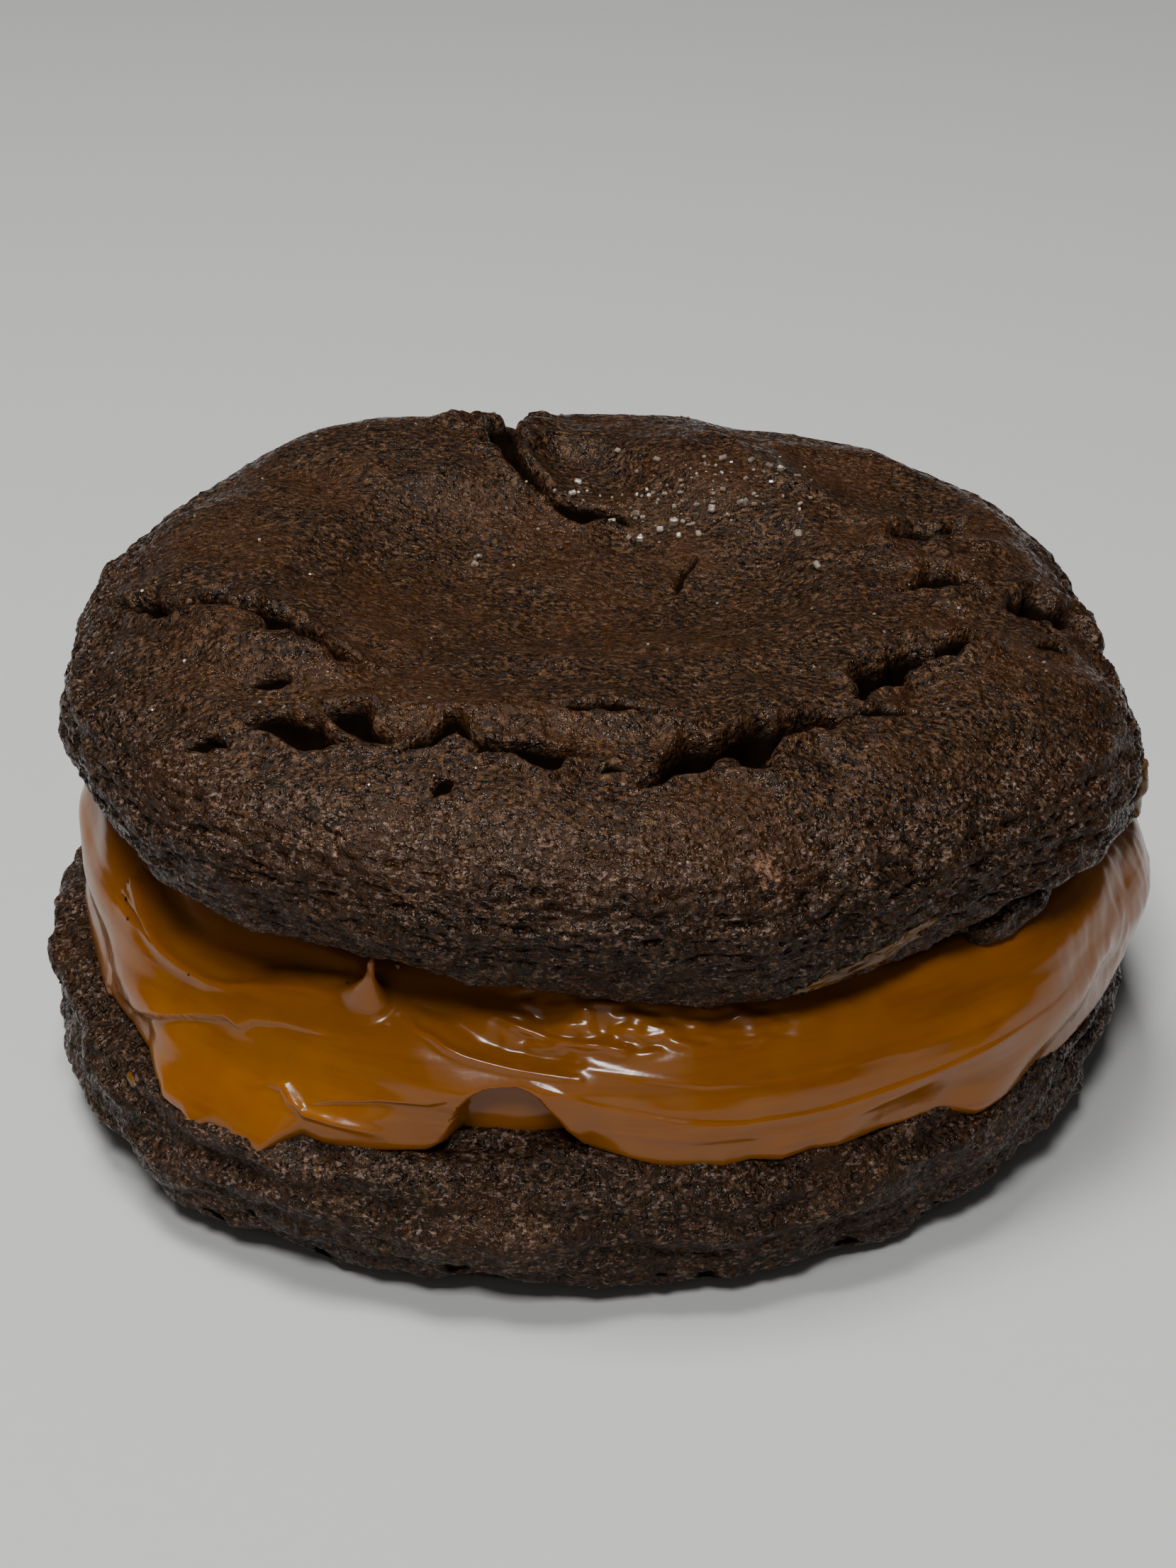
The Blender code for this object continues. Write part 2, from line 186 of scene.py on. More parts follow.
@dataclass(frozen=True)
class Line:
    """A groove, a ridge or a step that follows a track.

    size is its depth or height and half_width its half width, or the reach of a step. square
    above 2 gives a groove steep walls.
    """

    kind: Kind
    size: float
    half_width: float
    points: Points
    square: float = 2.0

    def wrapped(self, girth: float) -> "Line":
        """The same line with its angles in degrees turned into millimetres round a wall."""
        points = tuple((float(np.radians(turn)) * girth, level) for turn, level in self.points)
        return replace(self, points=points)

    def relief(self, across: np.ndarray, along: np.ndarray,
               ragged: np.ndarray | float = 0.0) -> tuple[np.ndarray, np.ndarray]:
        """Works out the line's relief.

        Args:
            across: First surface coordinate of each point.
            along: Second surface coordinate of each point.
            ragged: How much wider a groove is at each point, as a share of its width.

        Returns:
            How far each point is lifted, and how deep in a groove it is, from 0 to 1.
        """
        gap, place, side = Track(self.points).nearest(across, along)
        taper = np.sqrt(np.sin(np.pi * np.clip(place, 0.02, 0.98)))
        profile = np.exp(-((gap / self.half_width) ** self.square))
        if self.kind is Kind.RIDGE:
            return self.size * taper * profile, np.zeros_like(across)
        if self.kind is Kind.STEP:
            raised = ease(0.5 + side * gap / STEP_EDGE) * np.exp(-gap / self.half_width)
            return self.size * taper * raised, np.zeros_like(across)
        half_width = self.half_width * (POINTED_END + (1 - POINTED_END) * taper**2) * (1 + ragged)
        lips = np.exp(-((gap / half_width - LIP_AT) ** 2))
        sunk = taper * np.exp(-((gap / half_width) ** self.square))
        return self.size * (LIP_HEIGHT * taper * lips - sunk), sunk


@dataclass(frozen=True)
class Swell:
    """A soft oval swell, or a hollow where its height is below zero."""

    x: float
    y: float
    half_length: float
    half_width: float
    turn: float
    height: float

    def relief(self, across: np.ndarray, along: np.ndarray) -> np.ndarray:
        """Works out the swell's relief.

        Args:
            across: x of each point seen from above.
            along: y of each point seen from above.

        Returns:
            How far each point is lifted.
        """
        turn = np.radians(self.turn)
        off_x, off_y = across - self.x, along - self.y
        on_length = off_x * np.cos(turn) + off_y * np.sin(turn)
        on_width = off_y * np.cos(turn) - off_x * np.sin(turn)
        inside = 1 - (on_length / self.half_length) ** 2 - (on_width / self.half_width) ** 2
        return self.height * ease(inside)


@dataclass(frozen=True)
class Slab:
    """A round-edged slab, given by its section, with the same sizes as the cookie's solid.

    falls are the angles from the top of a ball at which its surface becomes the shoulder, the
    widest level and the underside.
    """

    outline: Sizes
    lower_edge: Sizes
    widest: float
    top: float
    shoulder: float
    undercut: float
    undercut_power: float
    falls: tuple[float, float, float]
    middle: tuple[float, float] = (0.0, 0.0)
    lean: float = 0.0

    def surface(self, angle: np.ndarray, fall: np.ndarray) -> tuple[np.ndarray, np.ndarray]:
        """Places a ball's points on the slab.

        Args:
            angle: Angle of each point round the ball, in radians.
            fall: Angle of each point from the ball's top, in degrees.

        Returns:
            The radius and the height of each point.
        """
        face_end, side_at, under_at = self.falls
        outline, low = around(self.outline, angle), around(self.lower_edge, angle)
        reach, rise = rounding((side_at - fall) / (side_at - face_end), 2.0)
        radius = outline - self.shoulder * (1 - reach)
        height = self.widest + (self.top - self.widest) * rise
        reach, rise = rounding((fall - side_at) / (under_at - side_at), self.undercut_power)
        below = fall > side_at
        radius = np.where(below, outline - self.undercut * (1 - reach), radius)
        height = np.where(below, self.widest - (self.widest - low) * rise, height)
        radius = np.where(fall < face_end, radius * fall / face_end, radius)
        inward = np.clip((180 - fall) / (180 - under_at), 0, 1)
        radius = np.where(fall > under_at, radius * inward, radius)
        mean_low = np.mean(self.lower_edge)
        height = np.where(fall > under_at, mean_low + (low - mean_low) * inward**2, height)
        return radius, height

    def underside(self, angle: np.ndarray, radius: np.ndarray) -> np.ndarray:
        """Measures the smooth lower surface.

        Args:
            angle: Angle of each place round the middle.
            radius: Its distance from the middle.

        Returns:
            The surface's height at each place.
        """
        low, mean_low = around(self.lower_edge, angle), np.mean(self.lower_edge)
        flat = around(self.outline, angle) - self.undercut
        face = mean_low + (low - mean_low) * np.clip(radius / flat, 0, 1) ** 2
        past = np.clip((radius - flat) / self.undercut, 0, 1)
        curve = 1 - (1 - past**self.undercut_power) ** (1 / self.undercut_power)
        return face + (self.widest - low) * curve

    def crown(self, x: np.ndarray, y: np.ndarray) -> np.ndarray:
        """Measures the smooth upper surface.

        Args:
            x: First coordinate of each place seen from above.
            y: Second coordinate of each place.

        Returns:
            The surface's height at each place.
        """
        x, y = x - self.middle[0], y - self.middle[1]
        edge = around(self.outline, np.arctan2(y, x))
        past = np.clip((np.hypot(x, y) - edge + self.shoulder) / self.shoulder, 0, 1)
        return self.top - (self.top - self.widest) * (1 - np.sqrt(1 - past**2))


@dataclass
class Skin:
    """A closed mesh whose points are worked on as one array, in millimetres."""

    mesh: bpy.types.Mesh
    points: np.ndarray = field(init=False)

    def __post_init__(self) -> None:
        """Reads the mesh's points."""
        self.points = np.empty(len(self.mesh.vertices) * 3)
        self.mesh.vertices.foreach_get("co", self.points)
        self.points = self.points.reshape(-1, 3)

    @classmethod
    def of(cls, bm: bmesh.types.BMesh, name: str) -> "Skin":
        """Turns a bmesh into a skin and frees the bmesh.

        Args:
            bm: The bmesh.
            name: Name of the mesh.

        Returns:
            The skin.
        """
        mesh = bpy.data.meshes.new(name)
        bm.to_mesh(mesh)
        bm.free()
        return cls(mesh)

    def place(self, points: np.ndarray) -> None:
        """Moves the mesh's points.

        Args:
            points: Their new places.
        """
        self.points = points
        self.mesh.vertices.foreach_set("co", np.ascontiguousarray(points, np.float32).ravel())
        self.mesh.update()

    def normals(self) -> np.ndarray:
        """Reads the outward direction at each point.

        Returns:
            The directions.
        """
        found = np.empty(len(self.mesh.vertices) * 3, np.float32)
        self.mesh.vertex_normals.foreach_get("vector", found)
        return found.reshape(-1, 3)

    def mark(self, name: str, values: np.ndarray) -> None:
        """Stores one number at each point, for the finish to read."""
        layer = self.mesh.attributes.new(name, "FLOAT", "POINT")
        layer.data.foreach_set("value", values.astype(np.float32))

    def tree(self) -> BVHTree:
        """A search tree over the faces, in millimetres and unshifted."""
        faces = [tuple(face.vertices) for face in self.mesh.polygons]
        return BVHTree.FromPolygons(self.points.tolist(), faces)

    def finish(self, material: bpy.types.Material, smooth: bool = True) -> bpy.types.Object:
        """Makes the object.

        Args:
            material: Its finish.
            smooth: Whether it is shaded smooth.

        Returns:
            The object, in metres and in its place.
        """
        self.place((self.points + np.array([*STACK_SHIFT, 0.0])) * MM)
        if smooth:
            self.mesh.shade_smooth()
        self.mesh.materials.append(material)
        item = bpy.data.objects.new(self.mesh.name, self.mesh)
        bpy.context.scene.collection.objects.link(item)
        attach(item, BODY)
        log.info("%s: %d faces", item.name, len(self.mesh.polygons))
        return item


def fine_ball(name: str, levels: int, cuts: int) -> Skin:
    """A ball of even triangles.

    Args:
        name: Name of the mesh.
        levels: Subdivisions of the first ball.
        cuts: Cuts across each of its edges after that.

    Returns:
        The ball, with radius 1.
    """
    bm = bmesh.new()
    bmesh.ops.create_icosphere(bm, subdivisions=levels, radius=1.0)
    bmesh.ops.subdivide_edges(bm, edges=bm.edges[:], cuts=cuts, use_grid_fill=True)
    bmesh.ops.recalc_face_normals(bm, faces=bm.faces[:])
    return Skin.of(bm, name)


def read_ball(skin: Skin, front: float = 0.0) -> tuple[np.ndarray, np.ndarray]:
    """Reads a ball's points.

    Args:
        skin: The ball.
        front: How far its points are drawn together at the front, as a share of its radius.

    Returns:
        The angle round the middle in radians and the fall from the top in degrees.
    """
    drawn = skin.points - np.array([0.0, front, 0.0])
    unit = drawn / np.linalg.norm(drawn, axis=1, keepdims=True)
    fall = np.degrees(np.arccos(np.clip(unit[:, 2], -1, 1)))
    return np.arctan2(unit[:, 1], unit[:, 0]), fall


class Socket:
    """A shader socket that takes part in Python expressions."""

    def __init__(self, bench: "Bench", socket: bpy.types.NodeSocket) -> None:
        """Wraps a socket of a bench's material."""
        self.bench = bench
        self.socket = socket

    def __add__(self, other: "Socket | float") -> "Socket":
        """The sum."""
        return self.bench.maths("ADD", self, other)

    def __sub__(self, other: "Socket | float") -> "Socket":
        """The difference."""
        return self.bench.maths("SUBTRACT", self, other)

    def __rsub__(self, other: float) -> "Socket":
        """A number less this."""
        return self.bench.maths("SUBTRACT", other, self)

    def __mul__(self, other: "Socket | float") -> "Socket":
        """The product."""
        return self.bench.maths("MULTIPLY", self, other)

    __radd__ = __add__
    __rmul__ = __mul__

    def above(self, edge: float, width: float) -> "Socket":
        """0 below an edge and 1 past it, smooth over a width."""
        return self.bench.out(
            "ShaderNodeMapRange",
            {"interpolation_type": "SMOOTHSTEP"},
            {"Value": self, "From Min": edge - width / 2, "From Max": edge + width / 2},
            "Result",
        )


class Bench:
    """Makes one material and its nodes."""

    def __init__(self, name: str) -> None:
        """Starts the material.

        Args:
            name: Its name.
        """
        self.material = bpy.data.materials.new(name)
        self.material.use_nodes = True
        self.tree = self.material.node_tree
        self.shader = self.tree.nodes["Principled BSDF"]

    def node(self, kind: str, settings: dict[str, Any], values: dict[Any, Any]) -> bpy.types.Node:
        """Adds a node.

        Args:
            kind: Its type.
            settings: What is set on the node itself, before its sockets.
            values: A number, a colour or a link for each socket.

        Returns:
            The node.
        """
        made = self.tree.nodes.new(kind)
        for key, value in settings.items():
            setattr(made, key, value)
        for key, value in values.items():
            self.feed(made.inputs[key], value)
        return made

    def feed(self, socket: bpy.types.NodeSocket, value: Any) -> None:
        """Links a socket, or sets its value.

        Args:
            socket: The socket.
            value: A socket to link, a colour or a number.
        """
        if isinstance(value, Socket):
            self.tree.links.new(value.socket, socket)
        elif isinstance(value, tuple) and len(value) == 3 and socket.type == "RGBA":
            socket.default_value = (*value, 1.0)
        else:
            socket.default_value = value

    def out(self, kind: str, settings: dict[str, Any], values: dict[Any, Any], name: Any) -> Socket:
        """Adds a node and returns one of its outputs."""
        return Socket(self, self.node(kind, settings, values).outputs[name])

    def maths(self, operation: str, first: "Socket | float", second: "Socket | float") -> Socket:
        """A Math node on two values."""
        return self.out("ShaderNodeMath", {"operation": operation}, {0: first, 1: second}, 0)

    def blend(self, first: "Socket | Colour", second: "Socket | Colour", share: "Socket | float") -> Socket:
        """Mixes two colours; a share of 1 gives the second."""
        values = {0: share, 6: first, 7: second}
        return self.out("ShaderNodeMix", {"data_type": "RGBA"}, values, 2)

    def place(self, stretch: tuple[float, float, float] = (1.0, 1.0, 1.0)) -> Socket:
        """The object's own coordinates in millimetres.

        Args:
            stretch: How far a pattern is stretched along each axis.

        Returns:
            The coordinates.
        """
        here = self.out("ShaderNodeTexCoord", {}, {}, "Object")
        scale = tuple(1 / (MM * size) for size in stretch)
        return self.out("ShaderNodeMapping", {}, {"Vector": here, "Scale": scale}, "Vector")

    def lumps(self, size: float, detail: float = 2.0,
              stretch: tuple[float, float, float] = (1.0, 1.0, 1.0)) -> Socket:
        """Soft lumps of a size in millimetres, from 0 to 1."""
        values = {"Vector": self.place(stretch), "Scale": 1 / size, "Detail": detail, "Roughness": 0.6}
        return self.out("ShaderNodeTexNoise", {}, values, 0)

    def grains(self, size: float, output: str) -> Socket:
        """Cells of a size in millimetres: their Distance or their Color."""
        values = {"Vector": self.place(), "Scale": 1 / size, "Randomness": 1.0}
        return self.out("ShaderNodeTexVoronoi", {}, values, output)

    def pick(self, cell: Socket, share: float) -> Socket:
        """1 in the cells whose own random number is above a share, and 0 in the others."""
        number = self.out("ShaderNodeSeparateColor", {}, {"Color": cell}, "Red")
        return number.above(share, 0.02)

    def mark(self, name: str) -> Socket:
        """A number stored at the mesh's points."""
        return self.out("ShaderNodeAttribute", {"attribute_name": name}, {}, "Fac")

    def bump(self, height: Socket, depth: float, below: Socket | None = None) -> Socket:
        """Small relief.

        Args:
            height: Its pattern.
            depth: Its depth in millimetres.
            below: The relief that it lies on, if any.

        Returns:
            The shaded direction.
        """
        values: dict[Any, Any] = {"Height": height, "Distance": depth * MM}
        if below is not None:
            values["Normal"] = below
        return self.out("ShaderNodeBump", {}, values, "Normal")

    def sink(self, share: Socket, painted_shade: Colour) -> None:
        """Paints shade at the bottom of hollows: turns the shader into a dull dark one there.

        Args:
            share: 1 at the bottom of a hollow, and 0 outside it.
            painted_shade: The colour of the painted shade there.
        """
        settings = {"Base Color": painted_shade, "Roughness": 1.0, "Specular IOR Level": 0.0}
        painted_shade_bsdf = self.out("ShaderNodeBsdfPrincipled", {}, settings, "BSDF")
        values = {0: share, 1: Socket(self, self.shader.outputs["BSDF"]), 2: painted_shade_bsdf}
        mixed = self.out("ShaderNodeMixShader", {}, values, "Shader")
        self.feed(self.tree.nodes["Material Output"].inputs["Surface"], mixed)

    def dress(self, values: dict[str, Any]) -> bpy.types.Material:
        """Feeds the shader.

        Args:
            values: A number, a colour or a link for each socket.

        Returns:
            The material.
        """
        for key, value in values.items():
            self.feed(self.shader.inputs[key], value)
        return self.material


@dataclass(frozen=True)
class BakedCookie:
    """Baked chocolate dough: dark crumb with redder patches, glints and pale specks, the specks partly
    painted glints; shade is painted in cracks, in small holes and on steep sides.
    """

    name: str
    dark: Colour = (0.0048, 0.0018, 0.0007)
    body: Colour = (0.024, 0.0098, 0.0031)
    light: Colour = (0.084, 0.041, 0.018)
    warm: Colour = (0.046, 0.015, 0.003)
    # Pale flecks: partly pale crumb, partly painted glints.
    pale_fleck_and_glint: Colour = (0.20, 0.130, 0.102)
    # Painted shade: the colour put in the cracks and small holes.
    painted_shade: Colour = (0.0050, 0.0028, 0.0016)

    def make(self) -> bpy.types.Material:
        """Makes the material.

        Returns:
            The material.
        """
        bench = Bench(self.name)
        grain = bench.lumps(0.42, 3.0)
        crumb = bench.lumps(1.6, 3.0)
        colour = bench.blend(self.dark, self.body, grain.above(0.47, 0.12))
        colour = bench.blend(colour, self.light, grain.above(0.58, 0.1) * crumb.above(0.46, 0.24))
        patches = bench.lumps(9.0, 2.0).above(0.56, 0.2)
        colour = bench.blend(colour, self.warm, patches * 0.35)
        # Painted shade: the steep sides, marked coarse, are darkened as if in shade from a light above.
        colour = bench.blend(colour, self.dark, bench.mark("coarse") * 0.3)
        # Pale flecks, more of them on the coarse sides: partly pale crumb, partly painted glints.
        glint_fleck_share = bench.mark("coarse") * 0.85 + 0.1
        pale_flecks_and_glints = bench.lumps(0.27, 1.0, (1.4, 1.4, 0.8)).above(0.62, 0.14) * crumb.above(0.47, 0.2)
        colour = bench.blend(colour, self.pale_fleck_and_glint, pale_flecks_and_glints * glint_fleck_share * 0.55)
        # Painted shade: the crack bottoms get a dull dark shader, and the small holes a near-black colour.
        hollow = bench.mark("hollow").above(0.26, 0.34)
        hole = bench.lumps(0.8, 2.0, (1.5, 1.5, 0.7)).above(0.66, 0.08)
        colour = bench.blend(colour, self.painted_shade, hole * 0.75)
        glint = bench.pick(bench.grains(0.29, "Color"), 0.5)
        rough = 0.58 - glint * 0.47
        # Painted shade: a dull dark shader at the bottom of the cracks.
        bench.sink(hollow, self.painted_shade)
        fine = bench.bump(bench.lumps(0.26, 2.0), 0.2)
        facets = bench.bump(bench.grains(0.4, "Distance"), 0.1, fine)
        coarse = bench.bump(1 - hole, 0.1, facets)
        return bench.dress(
            {
                "Base Color": colour,
                "Roughness": rough,
                "Normal": coarse,
                "Specular IOR Level": 0.22,
                "Specular Tint": (1.0, 0.86, 0.76),
            }
        )


@dataclass(frozen=True)
class MilkCaramel:
    """Thick milk caramel, glossy, with faint streaks where the knife drew it out."""

    name: str
    body: Colour = (0.205, 0.064, 0.0015)
    deep: Colour = (0.145, 0.041, 0.001)
    pale: Colour = (0.255, 0.092, 0.004)
    soak: float = 0.4

    def make(self) -> bpy.types.Material:
        """Makes the material.

        Returns:
            The material.
        """
        bench = Bench(self.name)
        streaks = bench.lumps(1.0, 3.0, (9.0, 9.0, 0.9))
        clouds = bench.lumps(6.0, 2.0)
        colour = bench.blend(self.body, self.deep, streaks.above(0.58, 0.3) * 0.6)
        colour = bench.blend(colour, self.pale, clouds.above(0.6, 0.25) * 0.35)
        rough = 0.1 + bench.lumps(1.6, 3.0) * 0.22
        ripple = bench.bump(bench.lumps(0.9, 2.0, (1.0, 1.0, 1.6)), 0.014)
        drawn = bench.bump(bench.lumps(1.0, 2.0, (5.0, 5.0, 0.5)), 0.012, ripple)
        return bench.dress(
            {
                "Base Color": colour,
                "Roughness": rough,
                "Normal": drawn,
                "Specular IOR Level": 0.42,
                "Subsurface Weight": self.soak,
                "Subsurface Radius": (1.0, 0.32, 0.08),
                "Subsurface Scale": 0.0025,
            }
        )


@dataclass(frozen=True)
class WipedCaramel(MilkCaramel):
    """The same caramel in a film so thin that the dark crumb shows through it."""

    body: Colour = (0.088, 0.036, 0.004)
    deep: Colour = (0.050, 0.020, 0.003)
    pale: Colour = (0.120, 0.055, 0.008)
    soak: float = 0.1


@dataclass(frozen=True)
class SugarCrystal:
    """Cloudy sugar grains."""

    name: str
    body: Colour = (0.27, 0.215, 0.165)
    stain: Colour = (0.08, 0.05, 0.032)

    def make(self) -> bpy.types.Material:
        """Makes the material.

        Returns:
            The material.
        """
        bench = Bench(self.name)
        colour = bench.blend(self.body, self.stain, bench.lumps(0.8, 2.0).above(0.55, 0.3) * 0.7)
        return bench.dress(
            {
                "Base Color": colour,
                "Roughness": 0.12 + bench.lumps(0.5, 1.0) * 0.2,
                "Transmission Weight": 0.25,
                "Normal": bench.bump(bench.lumps(0.3, 1.0), 0.02),
            }
        )


@dataclass(frozen=True)
class PaleFloor:
    """A plain pale floor with a faint grain."""

    name: str
    body: Colour = (0.47, 0.47, 0.46)
    shade: Colour = (0.45, 0.45, 0.44)

    def make(self) -> bpy.types.Material:
        """Makes the material.

        Returns:
            The material.
        """
        bench = Bench(self.name)
        colour = bench.blend(self.body, self.shade, bench.lumps(1.5, 3.0))
        return bench.dress({"Base Color": colour, "Roughness": 0.8 + bench.lumps(3.0) * 0.05})


TOP_SLAB = Slab(
    outline=(34.8, 35.9, 39.3, 38.9, 37.3, 37.1, 37.1, 37.2, 36.5, 35.5,
             35.4, 36.8, 37.8, 38.2, 37.1, 37.2, 37.5, 35.9, 38.0, 37.7),
    lower_edge=(19.9, 19.8, 19.8, 19.8, 19.8, 19.8, 19.8, 19.8, 19.8, 19.7,
                19.7, 19.7, 19.7, 20.0, 20.5, 19.9, 19.1, 20.1, 20.4, 20.2),
    widest=26.0,
    top=32.9,
    shoulder=14.6,
    undercut=6.0,
    undercut_power=2.0,
    falls=(56.0, 112.0, 160.0),
    lean=-0.045,
)

BOTTOM_SLAB = Slab(
    outline=(37.4, 38.0, 38.5, 38.8, 38.9, 38.9, 38.9, 38.8, 38.7, 38.5,
             38.3, 38.0, 39.7, 41.0, 39.4, 38.7, 39.0, 38.9, 37.9, 37.1),
    lower_edge=(0.0,),
    widest=7.1,
    top=10.9,
    shoulder=4.2,
    undercut=9.0,
    undercut_power=3.0,
    falls=(40.0, 78.0, 154.0),
    middle=(-0.3, -0.3),
)

CARAMEL_WALL: Sizes = (38.4, 37.0, 36.3, 36.2, 36.4, 36.2, 35.9, 35.8, 35.7, 35.6,
                       35.6, 35.8, 37.0, 37.9, 37.6, 36.9, 38.1, 37.9, 38.0, 38.6)


@dataclass
class UpperCookie:
    """The upper cookie, with its cracks, wrinkles and granular crust."""

    slab: Slab = TOP_SLAB
    front: float = 0.25
    basin: tuple[float, ...] = (-2.0, 1.0, 21.0, 15.5, 2.2)
    cracks: tuple[Line, ...] = (
        Line(Kind.GROOVE, 3.4, 1.25, (
            (-4.6, 39.0), (-6.6, 31.0), (-8.0, 24.6), (-7.1, 19.4), (-5.6, 16.4), (-3.4, 13.6)), 4.0),
        Line(Kind.GROOVE, 1.6, 0.5, ((-4.6, 14.6), (-2.7, 12.9), (-0.4, 11.9), (2.6, 11.2)), 2.6),
        Line(Kind.GROOVE, 3.0, 1.05, (
            (-33.0, -2.6), (-30.0, -4.6), (-27.4, -8.8), (-25.2, -7.2), (-22.6, -9.6), (-19.7, -12.5),
            (-17.6, -15.0), (-15.4, -16.4), (-13.6, -16.2)), 3.4),
        Line(Kind.GROOVE, 3.4, 1.15, (
            (2.6, -28.4), (5.3, -26.2), (7.1, -24.8), (9.3, -23.8), (11.5, -22.6), (14.4, -19.9),
            (15.6, -19.6)), 3.0),
        Line(Kind.GROOVE, 1.1, 0.4, ((14.0, -20.0), (17.4, -19.4), (21.2, -18.6)), 2.4),
        Line(Kind.GROOVE, 3.2, 1.0, (
            (16.7, -17.4), (17.9, -14.0), (19.3, -12.2), (20.5, -11.2), (22.6, -11.6)), 4.0),
        Line(Kind.GROOVE, 2.8, 1.2, ((21.8, -11.0), (23.3, -9.3), (24.8, -8.0)), 3.0),
        Line(Kind.GROOVE, 3.2, 1.4, (
            (28.0, -1.3), (30.1, 0.6), (31.8, 0.9), (33.2, -0.6), (36.0, -1.6)), 3.4),
        Line(Kind.GROOVE, 3.2, 1.5, ((20.8, 7.2), (22.6, 9.0), (23.9, 11.2), (26.4, 14.2)), 3.4),
        Line(Kind.GROOVE, 3.0, 1.3, ((20.9, -0.5), (23.7, 0.5), (26.6, 0.8)), 3.4),
        Line(Kind.GROOVE, 1.2, 0.42, ((28.8, -7.7), (29.8, -7.0), (31.0, -6.3)), 2.4),
        Line(Kind.GROOVE, 2.0, 0.8, (
            (-21.4, -22.2), (-19.3, -23.0), (-17.9, -23.9), (-15.4, -24.8)), 3.0),
        Line(Kind.GROOVE, 1.0, 0.45, ((-21.8, -18.0), (-20.4, -18.5), (-19.2, -19.0)), 2.4),
        Line(Kind.GROOVE, 2.2, 0.8, ((-16.8, -22.0), (-14.9, -23.4), (-12.4, -24.6)), 3.0),
        Line(Kind.GROOVE, 1.9, 0.48, (
            (-12.6, -26.4), (-10.3, -25.3), (-8.9, -23.6), (-7.8, -24.4), (-6.4, -26.0)), 3.0),
        Line(Kind.GROOVE, 2.4, 0.85, ((-7.6, -26.0), (-4.9, -25.8), (-3.2, -26.6), (-1.2, -25.2)), 3.0),
        Line(Kind.GROOVE, 1.2, 0.4, (
            (-3.2, -21.6), (0.1, -22.1), (1.4, -21.6), (3.5, -21.9), (6.0, -20.9)), 2.4),
        Line(Kind.GROOVE, 0.8, 0.3, ((6.8, 6.8), (5.9, 4.6), (4.9, 2.2)), 2.0),
        Line(Kind.GROOVE, 1.3, 0.45, ((-10.0, -30.0), (-9.2, -29.4), (-8.6, -29.0)), 2.4),
        Line(Kind.GROOVE, 1.2, 0.4, ((-0.2, -27.4), (0.8, -27.2), (1.8, -27.3)), 2.4),
        Line(Kind.GROOVE, 1.1, 0.4, ((-25.2, -23.3), (-24.0, -23.6), (-22.9, -23.9)), 2.4),
        Line(Kind.RIDGE, 0.5, 0.9, (
            (6.2, 25.8), (8.4, 23.0), (10.2, 20.3), (12.1, 16.4), (13.5, 14.2), (16.0, 13.6),
            (17.4, 11.4), (19.6, 9.2), (19.9, 3.8))),
        Line(Kind.RIDGE, 0.45, 1.5, (
            (-19.0, -18.6), (-14.9, -21.8), (-6.2, -22.2), (2.4, -22.8), (8.0, -20.6), (12.8, -17.6))),
    )
    flake: Line = Line(Kind.GROOVE, 3.6, 1.2, (
        (-56.0, 20.6), (-50.5, 21.9), (-44.5, 22.5), (-38.0, 22.1), (-31.0, 21.7), (-22.0, 21.7),
        (-12.0, 21.4)), 4.0)
    swells: tuple[Swell, ...] = (
        Swell(-13.5, 20.0, 14.0, 9.0, -24.0, 1.3),
        Swell(-20.5, -13.6, 10.0, 4.6, -34.0, 1.3),
        Swell(9.5, 17.5, 13.0, 6.0, -58.0, 1.1),
        Swell(21.0, 17.0, 11.0, 6.5, -52.0, -1.5),
        Swell(-1.0, 19.0, 6.5, 4.2, -50.0, -1.3),
        Swell(27.5, -12.0, 10.0, 7.0, 60.0, 0.9),
        Swell(27.0, 6.0, 7.0, 4.0, 60.0, 0.6),
        Swell(-6.0, -20.5, 16.0, 4.0, -4.0, 0.5),
    )
    rim_blend: float = 18.0
    under_blend: float = 14.0
    stray_x: tuple[Lumps, ...] = (Lumps((3.0, 3.0, 3.0), 0.6, 70.0), Lumps((1.1, 1.1, 1.1), 0.24, 80.0))
    stray_y: tuple[Lumps, ...] = (Lumps((3.0, 3.0, 3.0), 0.6, 90.0), Lumps((1.1, 1.1, 1.1), 0.24, 99.0))
    ragged: Lumps = Lumps((2.2, 2.2, 2.2), 1.2, 33.0)
    narrowest: float = -0.4
    widest: float = 0.5
    mounds: tuple[Lumps, ...] = (Lumps((4.5, 4.5, 2.2), 0.45, 0.0), Lumps((11, 11, 8), 0.5, 50.0))
    pits: Lumps = Lumps((1.5, 1.5, 1.1), 1.0, 5.0)
    nicks: Lumps = Lumps((0.9, 0.9, 0.75), 1.0, 21.0)
    bulges: Lumps = Lumps((4.0, 4.0, 2.0), 0.3, 61.0)
    grains: tuple[Lumps, ...] = (Lumps((0.8, 0.8, 0.8), 0.15, 31.0), Lumps((0.5, 0.5, 0.5), 0.13, 47.0))
    pit_depth: float = 0.3
    nick_depth: float = 0.26
    side_scale: float = 0.42
    flat_grain: float = 0.4

